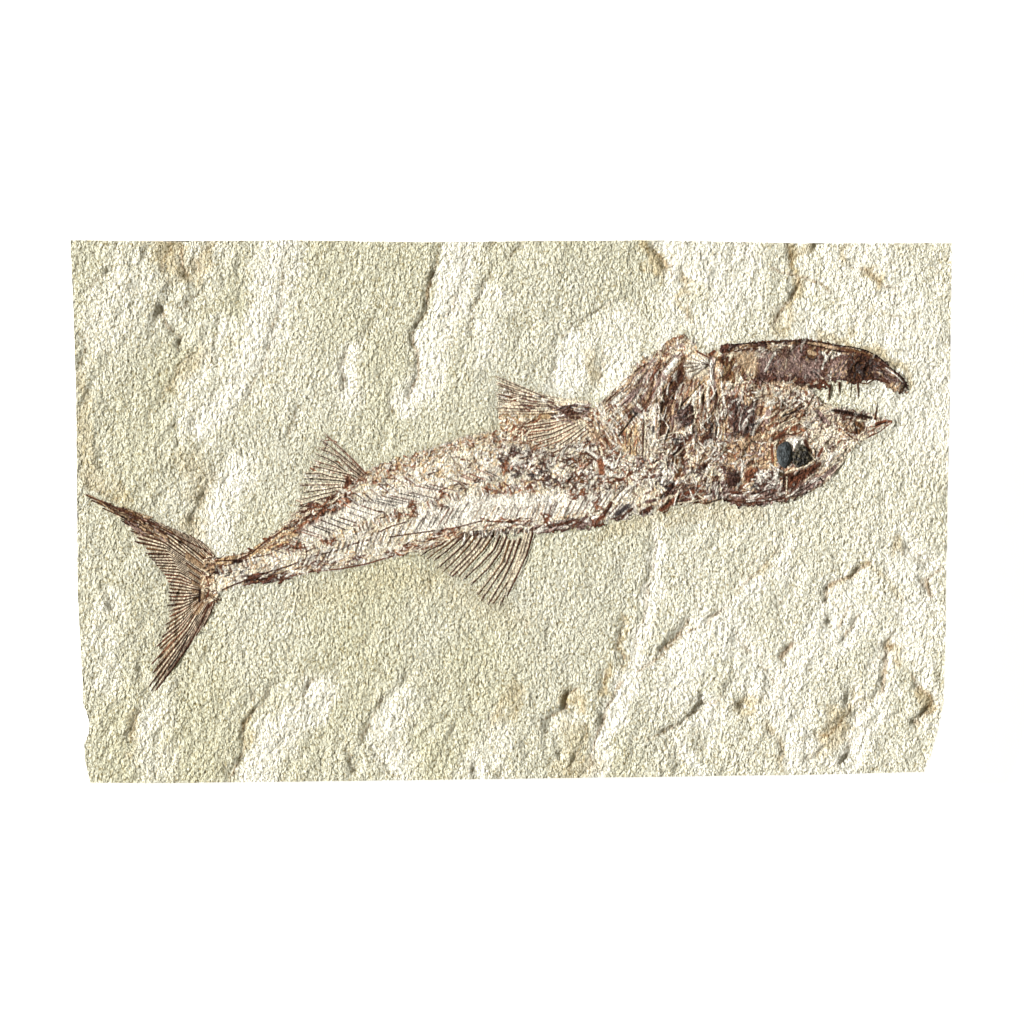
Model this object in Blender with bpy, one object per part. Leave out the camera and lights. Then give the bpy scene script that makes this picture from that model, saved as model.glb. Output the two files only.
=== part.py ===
"""A fossil fish on its limestone slab, lying face up.

The slab is a hand-split sheet of limestone with chips and ledges in its face. The fish lies in the
bedding plane, belly up, its head at +X: every bone group is a low relief solid let into its own
pocket in the rock. Metres, +Z up, the origin in the middle of the slab's flat back.

Outlines are drawn on a sheet ruled in quarter millimetres, x to the right and y down the sheet,
with the slab's middle at SHEET_MIDDLE.
"""

import math

import bmesh
import bpy
import numpy as np
from mathutils import Matrix, Vector

# Driving dimensions
SHEET_UNIT = 0.00025
SHEET_MIDDLE = (511.0, 511.5)
BED_HEIGHT = 0.014  # from the slab's back to the bedding plane that the fish lies in
JOINT_GAP = 0.0003  # clearance between neighbouring solids
CUTTER_TOP = 0.006  # how far a pocket cutter stands out of the bedding plane
TINY = 0.00001

# The slab's outline: four sides, with the broken corner at the end of the right side
SLAB_TOP = [(70, 240), (290, 241), (520, 242), (660, 240), (800, 243), (952, 243)]
SLAB_BOTTOM = [(90, 783), (350, 781), (650, 777), (924, 772)]
SLAB_LEFT = [(70, 240), (74, 340), (78, 480), (79, 600), (83, 690), (84, 750), (90, 783)]
SLAB_RIGHT = [(952, 243), (950, 330), (948, 480), (946, 640), (944, 703), (924, 772)]
SLAB_COLUMNS, SLAB_ROWS = 176, 109
SLAB_KEEP = 0.066  # share of the fine grid's faces that the faceted slab keeps

# Ledges and chisel hollows: line, depth, width of the steep side, width of the gentle side.
# The steep side is on the right hand of somebody who walks along the line.
LEDGES = [
    ([(176, 230), (180, 255), (187, 281)], 0.0011, 0.003, 0.005),
    ([(206, 230), (204, 250), (197, 275), (190, 298)], 0.0008, 0.002, 0.004),
    ([(160, 303), (168, 322), (178, 340), (182, 352)], 0.0006, 0.002, 0.005),
    ([(224, 316), (217, 330), (211, 346)], 0.0005, 0.001, 0.004),
    ([(200, 342), (192, 358), (180, 372), (160, 392), (151, 408), (153, 428)], 0.0005, 0.002, 0.005),
    ([(92, 338), (84, 356), (78, 376), (86, 400), (90, 440), (97, 462), (88, 480)], 0.0008, 0.002, 0.006),
    ([(110, 262), (98, 278), (82, 296)], 0.0004, 0.001, 0.003),
    ([(216, 458), (212, 474), (203, 490), (197, 510)], 0.0005, 0.003, 0.008),
    ([(300, 402), (292, 420), (287, 442)], 0.0004, 0.001, 0.003),
    ([(445, 230), (440, 255), (434, 280), (426, 312), (418, 326)], 0.0010, 0.002, 0.008),
    ([(352, 342), (345, 368), (342, 388)], 0.0006, 0.002, 0.005),
    ([(410, 330), (418, 345), (420, 366), (418, 385), (402, 411)], 0.0009, 0.004, 0.005),
    ([(384, 378), (392, 396), (393, 418)], 0.0006, 0.004, 0.004),
    ([(497, 260), (488, 280), (480, 300), (473, 315), (476, 328), (469, 349)], 0.0007, 0.002, 0.006),
    ([(527, 236), (513, 252), (505, 266)], 0.0005, 0.002, 0.004),
    ([(512, 306), (516, 320), (527, 326), (521, 340), (517, 356)], 0.0005, 0.001, 0.004),
    ([(642, 276), (630, 298), (606, 306), (578, 320), (560, 338), (536, 356), (532, 382)], 0.0006, 0.001, 0.009),
    ([(662, 232), (666, 262), (680, 262), (686, 292)], 0.0008, 0.004, 0.006),
    ([(796, 242), (797, 272), (802, 288), (788, 304), (796, 308), (790, 330)], 0.0006, 0.004, 0.005),
    ([(905, 298), (884, 286), (872, 272), (845, 262)], 0.0003, 0.001, 0.003),
    ([(240, 700), (262, 690), (272, 700), (252, 722), (244, 745), (238, 786)], 0.0010, 0.005, 0.007),
    ([(144, 706), (134, 722), (132, 752)], 0.0009, 0.003, 0.006),
    ([(104, 570), (104, 592), (102, 604), (118, 616)], 0.0005, 0.002, 0.004),
    ([(341, 652), (333, 668), (318, 676), (303, 696)], 0.0005, 0.001, 0.004),
    ([(388, 696), (368, 722), (360, 740), (376, 756), (392, 778)], 0.0010, 0.003, 0.007),
    ([(384, 656), (380, 674)], 0.0005, 0.002, 0.002),
    ([(624, 612), (621, 635), (626, 660), (612, 666), (610, 690), (582, 690)], 0.0013, 0.003, 0.012),
    ([(582, 690), (566, 704), (545, 718), (540, 740)], 0.0009, 0.003, 0.005),
    ([(580, 716), (586, 738), (578, 758), (588, 778)], 0.0011, 0.004, 0.006),
    ([(470, 736), (476, 760), (480, 786)], 0.0006, 0.003, 0.005),
    ([(776, 552), (764, 562), (750, 578)], 0.0006, 0.003, 0.004),
    ([(724, 610), (708, 618), (696, 616), (676, 640), (656, 658), (638, 670)], 0.0008, 0.001, 0.006),
    ([(728, 668), (727, 696), (708, 702), (684, 718), (650, 738)], 0.0008, 0.002, 0.006),
    ([(876, 558), (852, 576), (828, 586), (828, 600), (812, 618)], 0.0007, 0.001, 0.006),
    ([(796, 642), (779, 660)], 0.0006, 0.001, 0.005),
    ([(897, 630), (892, 650), (886, 672), (883, 692), (866, 704)], 0.0007, 0.004, 0.003),
    ([(898, 528), (900, 544), (890, 560), (906, 576)], 0.0005, 0.002, 0.004),
    ([(928, 578), (932, 596), (940, 612)], 0.0007, 0.002, 0.002),
    ([(914, 682), (928, 696), (936, 706), (918, 726)], 0.0010, 0.004, 0.003),
    ([(832, 700), (856, 706), (846, 730), (824, 740), (836, 776)], 0.0012, 0.004, 0.006),
]

# Bones, each drawn as two edges that run the same way
TRUNK_TOP = [
    (218, 563), (240, 556), (255, 549), (270, 541), (284, 529), (300, 518), (318, 508), (336, 493),
    (350, 481), (368, 471), (400, 457), (430, 448), (455, 440), (470, 434), (485, 431), (504, 441),
    (530, 453), (560, 448), (583, 432), (596, 408), (612, 396), (632, 372), (645, 358), (659, 350),
]
TRUNK_BOTTOM = [
    (218, 592), (240, 584), (258, 582), (282, 578), (310, 573), (345, 568), (378, 562), (400, 556),
    (430, 547), (460, 540), (500, 535), (535, 532), (560, 527), (590, 528), (615, 521), (640, 514), (657, 509),
]
GILL_TOP = [(657, 352), (664, 343), (674, 337), (684, 333), (694, 341), (702, 352), (712, 352), (720, 358)]
GILL_BOTTOM = [(655, 506), (668, 507), (680, 502), (698, 499), (706, 504), (722, 498)]
LOWER_JAW_TOP = [
    (720, 347), (740, 344), (770, 341), (800, 339), (830, 343), (855, 349), (872, 355), (885, 364), (898, 374),
    (908, 384),
]
LOWER_JAW_BOTTOM = [
    (724, 359), (742, 372), (765, 379), (790, 380), (810, 386), (835, 382), (862, 386), (876, 380),
    (890, 387), (904, 392),
]
SKULL_TOP = [
    (722, 360), (742, 374), (765, 381), (792, 384), (804, 396), (812, 410), (830, 412), (836, 420), (840, 432),
]
SKULL_BOTTOM = [(724, 498), (745, 503), (770, 501), (790, 499), (812, 491), (832, 480), (838, 466), (846, 456)]
UPPER_JAW_TOP = [(831, 408), (850, 411), (874, 416), (889, 421)]
UPPER_JAW_BOTTOM = [(848, 452), (862, 441), (876, 435), (888, 426)]

# Fins: the line of the ray roots and the line of the ray tips, drawn the same way
PECTORAL_ROOTS = [(584, 403), (589, 410), (590, 418), (586, 428)]
PECTORAL_TIPS = [(495, 378), (497, 392), (496, 403), (498, 414), (501, 428), (514, 440), (532, 449), (546, 447)]
ANAL_ROOTS = [(364, 470), (350, 480), (338, 490), (326, 500), (310, 510), (294, 520), (284, 531)]
ANAL_TIPS = [
    (325, 435), (320, 444), (315, 455), (317, 468), (304, 476), (301, 488), (297, 498), (293, 512),
    (280, 524), (272, 535),
]
DORSAL_ROOTS = [(426, 550), (445, 545), (465, 540), (490, 537), (515, 535), (533, 534)]
DORSAL_TIPS = [(418, 561), (432, 568), (448, 574), (463, 583), (478, 593), (492, 603), (509, 603)]
TAIL_ROOTS = [(215, 559), (212, 564), (210, 571), (209, 579), (210, 587), (212, 594), (215, 599)]
TAIL_TIPS = [
    (86, 494), (108, 511), (124, 526), (136, 543), (152, 560), (165, 573), (173, 583), (170, 598),
    (168, 618), (163, 638), (154, 660), (150, 680), (149, 698),
]
FINS = {  # with the number of rays that stand out
    "pectoral_fin": (PECTORAL_ROOTS, PECTORAL_TIPS, 12),
    "anal_fin": (ANAL_ROOTS, ANAL_TIPS, 16),
    "dorsal_fin": (DORSAL_ROOTS, DORSAL_TIPS, 13),
    "tail_fin": (TAIL_ROOTS, TAIL_TIPS, 26),
}
EYE_LOBES = [((783.5, 455), (8, 14)), ((800, 458), (11, 10))]  # centre and half sizes

# How far the bones stand out of the bedding plane
TRUNK_RISE, SPINE_RISE, RIB_RISE = 0.0003, 0.0006, 0.0003
SKULL_RISE, GILL_RISE, JAW_RISE, EYE_RISE = 0.0010, 0.0008, 0.0012, 0.0016
FIN_RISE, RAY_RISE = 0.0001, 0.0004

# How far they reach down into the rock. Every bone is cut round those that reach deeper.
EYE_DEPTH = 0.0021
DEPTHS = {"upper_jaw": 0.0019, "lower_jaw": 0.0017, "skull": 0.0015, "gill_cover": 0.0013, "trunk": 0.0011}
FIN_DEPTH = 0.0009

RIB_PAIRS, GILL_RAYS = 44, 9
BACKBONE_SHARE = 0.45  # where the backbone runs, from the back's edge to the belly's
SPINE_WIDTH = 0.09  # as a share of the trunk's height
RIB_LEAN = 0.06  # how far a rib's outer end leans towards the tail, as a share of the trunk
WEB_SINK = 0.0008  # how far the web between two fin rays has sunk into the rock at their tips
TEETH = [  # root, tip and width at the root, on the drawing sheet
    ("lower_jaw", (858, 381), (858.5, 397), 5),
    ("lower_jaw", (832, 379), (828, 404), 5),
    ("lower_jaw", (806, 383), (804, 395), 4),
    ("lower_jaw", (895, 385), (896, 393), 4),
    ("upper_jaw", (872, 420), (877, 405), 4),
    ("upper_jaw", (846, 414), (846, 404), 4),
]


def metres(points):
    """Points of the drawing sheet as x and y in metres."""
    points = np.asarray(points, float)
    return (points - SHEET_MIDDLE) * (SHEET_UNIT, -SHEET_UNIT)


def spaced(line, shares):
    """Points at these shares of a drawn line's length, in metres."""
    points = metres(line)
    reached = np.concatenate([[0], np.cumsum(np.hypot(*np.diff(points, axis=0).T))])
    shares = np.asarray(shares) * reached[-1]
    return np.column_stack([np.interp(shares, reached, points[:, k]) for k in (0, 1)])


def crease(x, y, line, depth, steep, gentle):
    """Depth of one ledge: a wall on its steep side and a ramp on the other, fading at both ends."""
    points = metres(line)
    lengths = np.hypot(*np.diff(points, axis=0).T)
    nearest = np.full(x.shape, np.inf)
    side = np.ones(x.shape)
    share = np.zeros(x.shape)
    for start, end, length, before in zip(points, points[1:], lengths, np.cumsum(lengths) - lengths):
        along = (end - start) / length
        reach = np.clip((x - start[0]) * along[0] + (y - start[1]) * along[1], 0, length)
        dx, dy = x - start[0] - reach * along[0], y - start[1] - reach * along[1]
        distance = np.hypot(dx, dy)
        closer = distance < nearest
        nearest = np.where(closer, distance, nearest)
        side = np.where(closer, np.sign(along[0] * dy - along[1] * dx), side)
        share = np.where(closer, (before + reach) / lengths.sum(), share)
    width = np.where(side < 0, steep, gentle)
    fade = np.clip(np.minimum(share, 1 - share) * 5, 0, 1)
    return depth * fade * np.clip(1 - nearest / width, 0, 1) ** 1.3


def rock_face(x, y):
    """Height of the slab's face: the bedding plane, slow waves in it, and the ledges."""
    waves = 0.0003 * np.sin(x * 61 + 1.1) * np.sin(y * 83 + x * 40 + 0.4)
    height = BED_HEIGHT + waves
    for line, depth, steep, gentle in LEDGES:
        height = height - crease(x, y, line, depth, steep, gentle)
    return height


def from_bmesh(shape, name, collection):
    mesh = bpy.data.meshes.new(name)
    shape.to_mesh(mesh)
    shape.free()
    part = bpy.data.objects.new(name, mesh)
    collection.objects.link(part)
    return part


def as_cutter(part):
    part.hide_render = True
    part.display_type = "WIRE"
    return part


def closed_below(grid, floor):
    """Walls from the rim of an open sheet down to a flat floor."""
    rim = [edge for edge in grid.edges if edge.is_boundary]
    wall = bmesh.ops.extrude_edge_only(grid, edges=rim)["geom"]
    for vertex in wall:
        if isinstance(vertex, bmesh.types.BMVert):
            vertex.co.z = floor
    bmesh.ops.contextual_create(grid, geom=[e for e in wall if isinstance(e, bmesh.types.BMEdge)])
    bmesh.ops.recalc_face_normals(grid, faces=grid.faces)


def floor_of(bone):
    return BED_HEIGHT - DEPTHS.get(bone, FIN_DEPTH)


def relief_solid(name, first, second, columns, rows, rise, collection, lean=0.0):
    """A low relief let into the rock, its columns running from one drawn edge to another.

    lean bends the columns back from the backbone, as ribs do.
    """
    grid = bmesh.new()
    bmesh.ops.create_grid(grid, x_segments=columns, y_segments=rows, size=0.5)
    u = np.array([v.co.x + 0.5 for v in grid.verts])
    v = np.array([v.co.y + 0.5 for v in grid.verts])
    leant = u - lean * np.abs(v - BACKBONE_SHARE) * np.sin(math.pi * u) ** 0.5
    placed = spaced(first, leant) * (1 - v)[:, None] + spaced(second, leant) * v[:, None]
    for vertex, (x, y), z in zip(grid.verts, placed, rise(u, v)):
        vertex.co = (x, y, BED_HEIGHT + z)
    closed_below(grid, floor_of(name))
    return from_bmesh(grid, name, collection)


def pocket_cutter(part, cutters):
    """The room that a bone takes: its outline grown by the gap, from below its floor to open air."""
    floor = floor_of(part.name)
    room = bmesh.new()
    room.from_mesh(part.data)
    room.normal_update()
    outward = [Vector((v.normal.x, v.normal.y, 0)) for v in room.verts]
    for vertex, out in zip(room.verts, outward):
        if any(abs(face.normal.z) < 0.3 for face in vertex.link_faces):
            vertex.co += out.normalized() * JOINT_GAP
        vertex.co.z = floor - JOINT_GAP if vertex.co.z < floor + TINY else BED_HEIGHT + CUTTER_TOP
    return as_cutter(from_bmesh(room, part.name + "_room", cutters))


def boolean(part, tool, operation):
    modifier = part.modifiers.new(operation.lower() + "_" + tool.name, "BOOLEAN")
    modifier.operation = operation
    modifier.object = tool


def finish(part, colour, roughness):
    material = bpy.data.materials.new(part.name)
    material.use_nodes = True
    shader = material.node_tree.nodes["Principled BSDF"]
    shader.inputs["Base Color"].default_value = (*colour, 1)
    shader.inputs["Roughness"].default_value = roughness
    part.data.materials.append(material)


def make_slab(collection):
    """A fine grid warped to the outline, pressed to the rock face, walled in and thinned to main facets."""
    grid = bmesh.new()
    bmesh.ops.create_grid(grid, x_segments=SLAB_COLUMNS, y_segments=SLAB_ROWS, size=0.5)
    u = np.array([v.co.x + 0.5 for v in grid.verts])
    v = np.array([v.co.y + 0.5 for v in grid.verts])
    top, bottom = spaced(SLAB_TOP, u), spaced(SLAB_BOTTOM, u)
    left, right = spaced(SLAB_LEFT, 1 - v), spaced(SLAB_RIGHT, 1 - v)
    corners = metres([SLAB_BOTTOM[0], SLAB_BOTTOM[-1], SLAB_TOP[0], SLAB_TOP[-1]])
    u, v = u[:, None], v[:, None]
    placed = top * v + bottom * (1 - v) + left * (1 - u) + right * u
    placed -= (corners[0] * (1 - u) + corners[1] * u) * (1 - v) + (corners[2] * (1 - u) + corners[3] * u) * v
    for vertex, (x, y), z in zip(grid.verts, placed, rock_face(*placed.T)):
        vertex.co = (x, y, z)
    closed_below(grid, 0.0)
    slab = from_bmesh(grid, "slab", collection)
    thin = slab.modifiers.new("thin", "DECIMATE")
    thin.ratio = SLAB_KEEP
    return slab


def trunk_rise(u, v):
    """A low body with a raised backbone and a rib ridge on every second column."""
    backbone = np.exp(-(((v - BACKBONE_SHARE) / SPINE_WIDTH) ** 2))
    ribs = (np.round(u * RIB_PAIRS * 2) % 2 == 0) * np.sin(math.pi * v)
    return TRUNK_RISE + SPINE_RISE * backbone + RIB_RISE * ribs


def skull_rise(u, v):
    """Crushed bones: broad lumps crossed by slanting ridges, low at the rim."""
    lumps = 0.5 + 0.3 * np.sin(7 * u + 2 * v + 1) * np.sin(9 * v + 1.5) + 0.2 * np.sin(17 * v - 11 * u)
    rim = np.clip(8 * np.minimum(np.minimum(u, 1 - u), np.minimum(v, 1 - v)), 0.3, 1)
    return SKULL_RISE * lumps * rim


def gill_rise(u, v):
    """Long bones side by side, across the head from belly to back."""
    ridges = 0.55 + 0.45 * np.cos(2 * math.pi * GILL_RAYS * u)
    return GILL_RISE * ridges * np.clip(6 * np.minimum(v, 1 - v), 0.3, 1)


def jaw_rise(u, v):
    """Thick along the outer edge and thinner towards the teeth."""
    return JAW_RISE * (0.4 + 0.6 * np.sin(math.pi * v) ** 0.5) * (1 - 0.4 * u)


def ray_rise(rays):
    """Rise of a fin: a ridge for each ray, and a web between them that sinks into the rock towards the tips."""

    def rise(u, v):
        ray = np.round(u * rays * 2) % 2 == 1
        return FIN_RISE + np.where(ray, RAY_RISE * (1 - 0.5 * v), -WEB_SINK * v**2)

    return rise


def make_eye(collection, cutters):
    """Two squashed beads of dark mineral, side by side in the orbit."""
    lobes = []
    for number, (centre, half) in enumerate(EYE_LOBES):
        bead = bmesh.new()
        bmesh.ops.create_uvsphere(bead, u_segments=12, v_segments=6, radius=1)
        x, y = metres(centre)
        low = BED_HEIGHT - EYE_DEPTH
        for vertex in bead.verts:
            vertex.co.x = x + vertex.co.x * half[0] * SHEET_UNIT
            vertex.co.y = y + vertex.co.y * half[1] * SHEET_UNIT
            vertex.co.z = low + (vertex.co.z + 1) / 2 * (EYE_RISE + EYE_DEPTH)
        lobes.append(from_bmesh(bead, "eye_lobe" if number else "eye", cutters if number else collection))
    boolean(lobes[0], as_cutter(lobes[1]), "UNION")
    return lobes[0]


def eye_socket(cutters):
    """A round-ended well around the eye, cut through the skull."""
    sockets = []
    for number, (centre, half) in enumerate(EYE_LOBES):
        well = bmesh.new()
        bmesh.ops.create_cone(well, cap_ends=True, segments=12, radius1=1, radius2=1, depth=1)
        x, y = metres(centre)
        for vertex in well.verts:
            vertex.co.x = x + vertex.co.x * (half[0] * SHEET_UNIT + JOINT_GAP)
            vertex.co.y = y + vertex.co.y * (half[1] * SHEET_UNIT + JOINT_GAP)
            above = vertex.co.z > 0
            vertex.co.z = BED_HEIGHT + CUTTER_TOP if above else BED_HEIGHT - EYE_DEPTH - JOINT_GAP
        sockets.append(as_cutter(from_bmesh(well, f"socket_{number}", cutters)))
    return sockets


def tooth_cone(number, root, tip, width, cutters):
    """A cone that lies half sunk in the bedding plane."""
    start, end = (Vector((*metres(point), BED_HEIGHT)) for point in (root, tip))
    cone = bmesh.new()
    bmesh.ops.create_cone(
        cone,
        cap_ends=True,
        segments=8,
        radius1=width * SHEET_UNIT / 2,
        radius2=SHEET_UNIT / 3,
        depth=(end - start).length,
    )
    turn = (end - start).to_track_quat("Z", "Y").to_matrix().to_4x4()
    bmesh.ops.transform(cone, matrix=Matrix.Translation((start + end) / 2) @ turn, verts=cone.verts)
    return from_bmesh(cone, f"tooth_{number}", cutters)


def tooth_room(number, root, tip, width, cutters):
    """The tapered well that a tooth lies in, wider and longer than the tooth by the gap."""
    start, end = (Vector((*metres(point), 0)) for point in (root, tip))
    along = (end - start).normalized()
    across = Vector((-along.y, along.x, 0))
    well = bmesh.new()
    bmesh.ops.create_cube(well, size=2)
    for vertex in well.verts:
        far = vertex.co.x > 0
        centre = end + along * JOINT_GAP if far else start
        half = (SHEET_UNIT / 3 if far else width * SHEET_UNIT / 2) + JOINT_GAP
        height = CUTTER_TOP if vertex.co.z > 0 else -width * SHEET_UNIT / 2 - JOINT_GAP
        vertex.co = centre + across * half * vertex.co.y
        vertex.co.z = BED_HEIGHT + height
    return as_cutter(from_bmesh(well, f"tooth_room_{number}", cutters))


def main():
    for old in list(bpy.data.objects):
        bpy.data.objects.remove(old)
    fossil = bpy.data.collections.new("fossil_fish_slab")
    cutters = bpy.data.collections.new("cutters")
    for collection in (fossil, cutters):
        bpy.context.scene.collection.children.link(collection)
    slab = make_slab(fossil)
    bones = {
        "upper_jaw": relief_solid("upper_jaw", UPPER_JAW_BOTTOM, UPPER_JAW_TOP, 10, 5, jaw_rise, fossil),
        "lower_jaw": relief_solid("lower_jaw", LOWER_JAW_BOTTOM, LOWER_JAW_TOP, 22, 4, jaw_rise, fossil),
        "skull": relief_solid("skull", SKULL_BOTTOM, SKULL_TOP, 18, 15, skull_rise, fossil),
        "gill_cover": relief_solid("gill_cover", GILL_BOTTOM, GILL_TOP, GILL_RAYS * 2, 9, gill_rise, fossil),
        "trunk": relief_solid("trunk", TRUNK_BOTTOM, TRUNK_TOP, RIB_PAIRS * 2, 7, trunk_rise, fossil, RIB_LEAN),
    }
    for name, (roots, tips, rays) in FINS.items():
        bones[name] = relief_solid(name, roots, tips, rays * 2, 3, ray_rise(rays), fossil)
    rooms = {name: pocket_cutter(bone, cutters) for name, bone in bones.items()}
    eye = make_eye(fossil, cutters)
    for socket in eye_socket(cutters):
        boolean(bones["skull"], socket, "DIFFERENCE")
        boolean(slab, socket, "DIFFERENCE")
    order = list(bones)
    for place, name in enumerate(order):
        for neighbour in order[:place]:
            boolean(bones[name], rooms[neighbour], "DIFFERENCE")
        boolean(slab, rooms[name], "DIFFERENCE")
    for number, (owner, *shape) in enumerate(TEETH):
        room = tooth_room(number, *shape, cutters)
        boolean(slab, room, "DIFFERENCE")
        boolean(bones["skull"], room, "DIFFERENCE")
        boolean(bones[owner], as_cutter(tooth_cone(number, *shape, cutters)), "UNION")
    limestone, bone, dark_bone = (0.72, 0.66, 0.50), (0.32, 0.19, 0.12), (0.13, 0.08, 0.07)
    finish(slab, limestone, 0.9)
    for name, part in bones.items():
        finish(part, dark_bone if name in ("lower_jaw", "upper_jaw") else bone, 0.6)
    finish(eye, (0.03, 0.04, 0.045), 0.4)


main()
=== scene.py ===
import math

import bmesh
import bpy
import numpy as np
from mathutils import Matrix, Vector, noise


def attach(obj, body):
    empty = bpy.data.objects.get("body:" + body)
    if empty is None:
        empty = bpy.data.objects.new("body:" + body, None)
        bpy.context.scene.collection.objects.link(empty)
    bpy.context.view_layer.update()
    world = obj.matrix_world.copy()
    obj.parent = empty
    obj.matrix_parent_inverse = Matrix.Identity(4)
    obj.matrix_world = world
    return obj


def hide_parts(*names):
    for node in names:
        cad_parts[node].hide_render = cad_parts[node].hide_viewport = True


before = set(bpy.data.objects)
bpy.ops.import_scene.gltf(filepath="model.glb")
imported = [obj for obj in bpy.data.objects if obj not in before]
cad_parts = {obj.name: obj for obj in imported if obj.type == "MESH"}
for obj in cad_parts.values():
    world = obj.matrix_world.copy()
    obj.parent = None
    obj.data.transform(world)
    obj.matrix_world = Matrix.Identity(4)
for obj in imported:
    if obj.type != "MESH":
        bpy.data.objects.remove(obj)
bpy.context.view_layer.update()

# The camera hangs straight over the slab and looks down on the face that carries the fish.
VIEW_WIDTH = 0.256  # across the picture, at the height of the bedding plane
BED = 0.014  # height of the bedding plane over the slab's flat back
LENS, SENSOR = 85.0, 36.0
camera = bpy.data.objects.new("camera", bpy.data.cameras.new("camera"))
camera.data.lens = LENS
camera.data.sensor_width = SENSOR
camera.data.clip_start = 0.01
camera.location = (0.00025, -0.000125, BED + VIEW_WIDTH * LENS / SENSOR)
bpy.context.scene.collection.objects.link(camera)
bpy.context.scene.camera = camera
bpy.context.scene.view_settings.view_transform = "Standard"


# ---------------------------------------------------------------------------------------------
# The slab: a sheet of fine cream limestone, split along its bedding. Its long edges were sawn,
# one end was trimmed with a chisel and a corner broke off. The face round the fish was chipped
# away by hand, which left ledges that drop towards the head and rise gently after them.
# ---------------------------------------------------------------------------------------------
SHEET = 0.00025  # the outlines are drawn on a sheet ruled in quarter millimetres, y down the sheet
SHEET_MIDDLE = (511.0, 511.5)


def traced(line):
    """A line or ring of the sheet as an array, from numbers or from text such as "70,240 160,241"."""
    if isinstance(line, str):
        line = [point.split(",") for point in line.split()]
    return np.array(line, float)


def marks(*texts):
    """Marks that are each written as their sizes and then their line, as lists of those."""
    made = []
    for text in texts:
        words = text.split()
        sizes = [float(word) for word in words if "," not in word]
        made.append([*sizes, traced(" ".join(words[len(sizes):]))])
    return made


SLAB_TOP = traced("70,240 160,241 290,240 420,242 520,241 660,240 800,243 952,243")
SLAB_BOTTOM = traced("90,783 170,783 350,781 500,779 650,777 800,775 924,772")
SLAB_LEFT = traced(
    "70,240 73,302 75,365 76,392 76.5,480 77.5,594 82.5,684 83,706 86,711 89,722 88.5,733 84,744 85,761 "
    "90,783",
)
SLAB_RIGHT = traced("952,243 951,300 950,400 948,480 946,600 944,703 938,730 931,755 924,772")
COLUMNS, ROWS = 380, 234
WALL_STEPS = [0.985, 0.93, 0.72, 0.5, 0.28, 0.06, 0.0]  # heights of the rings down the sides, as shares

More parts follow.
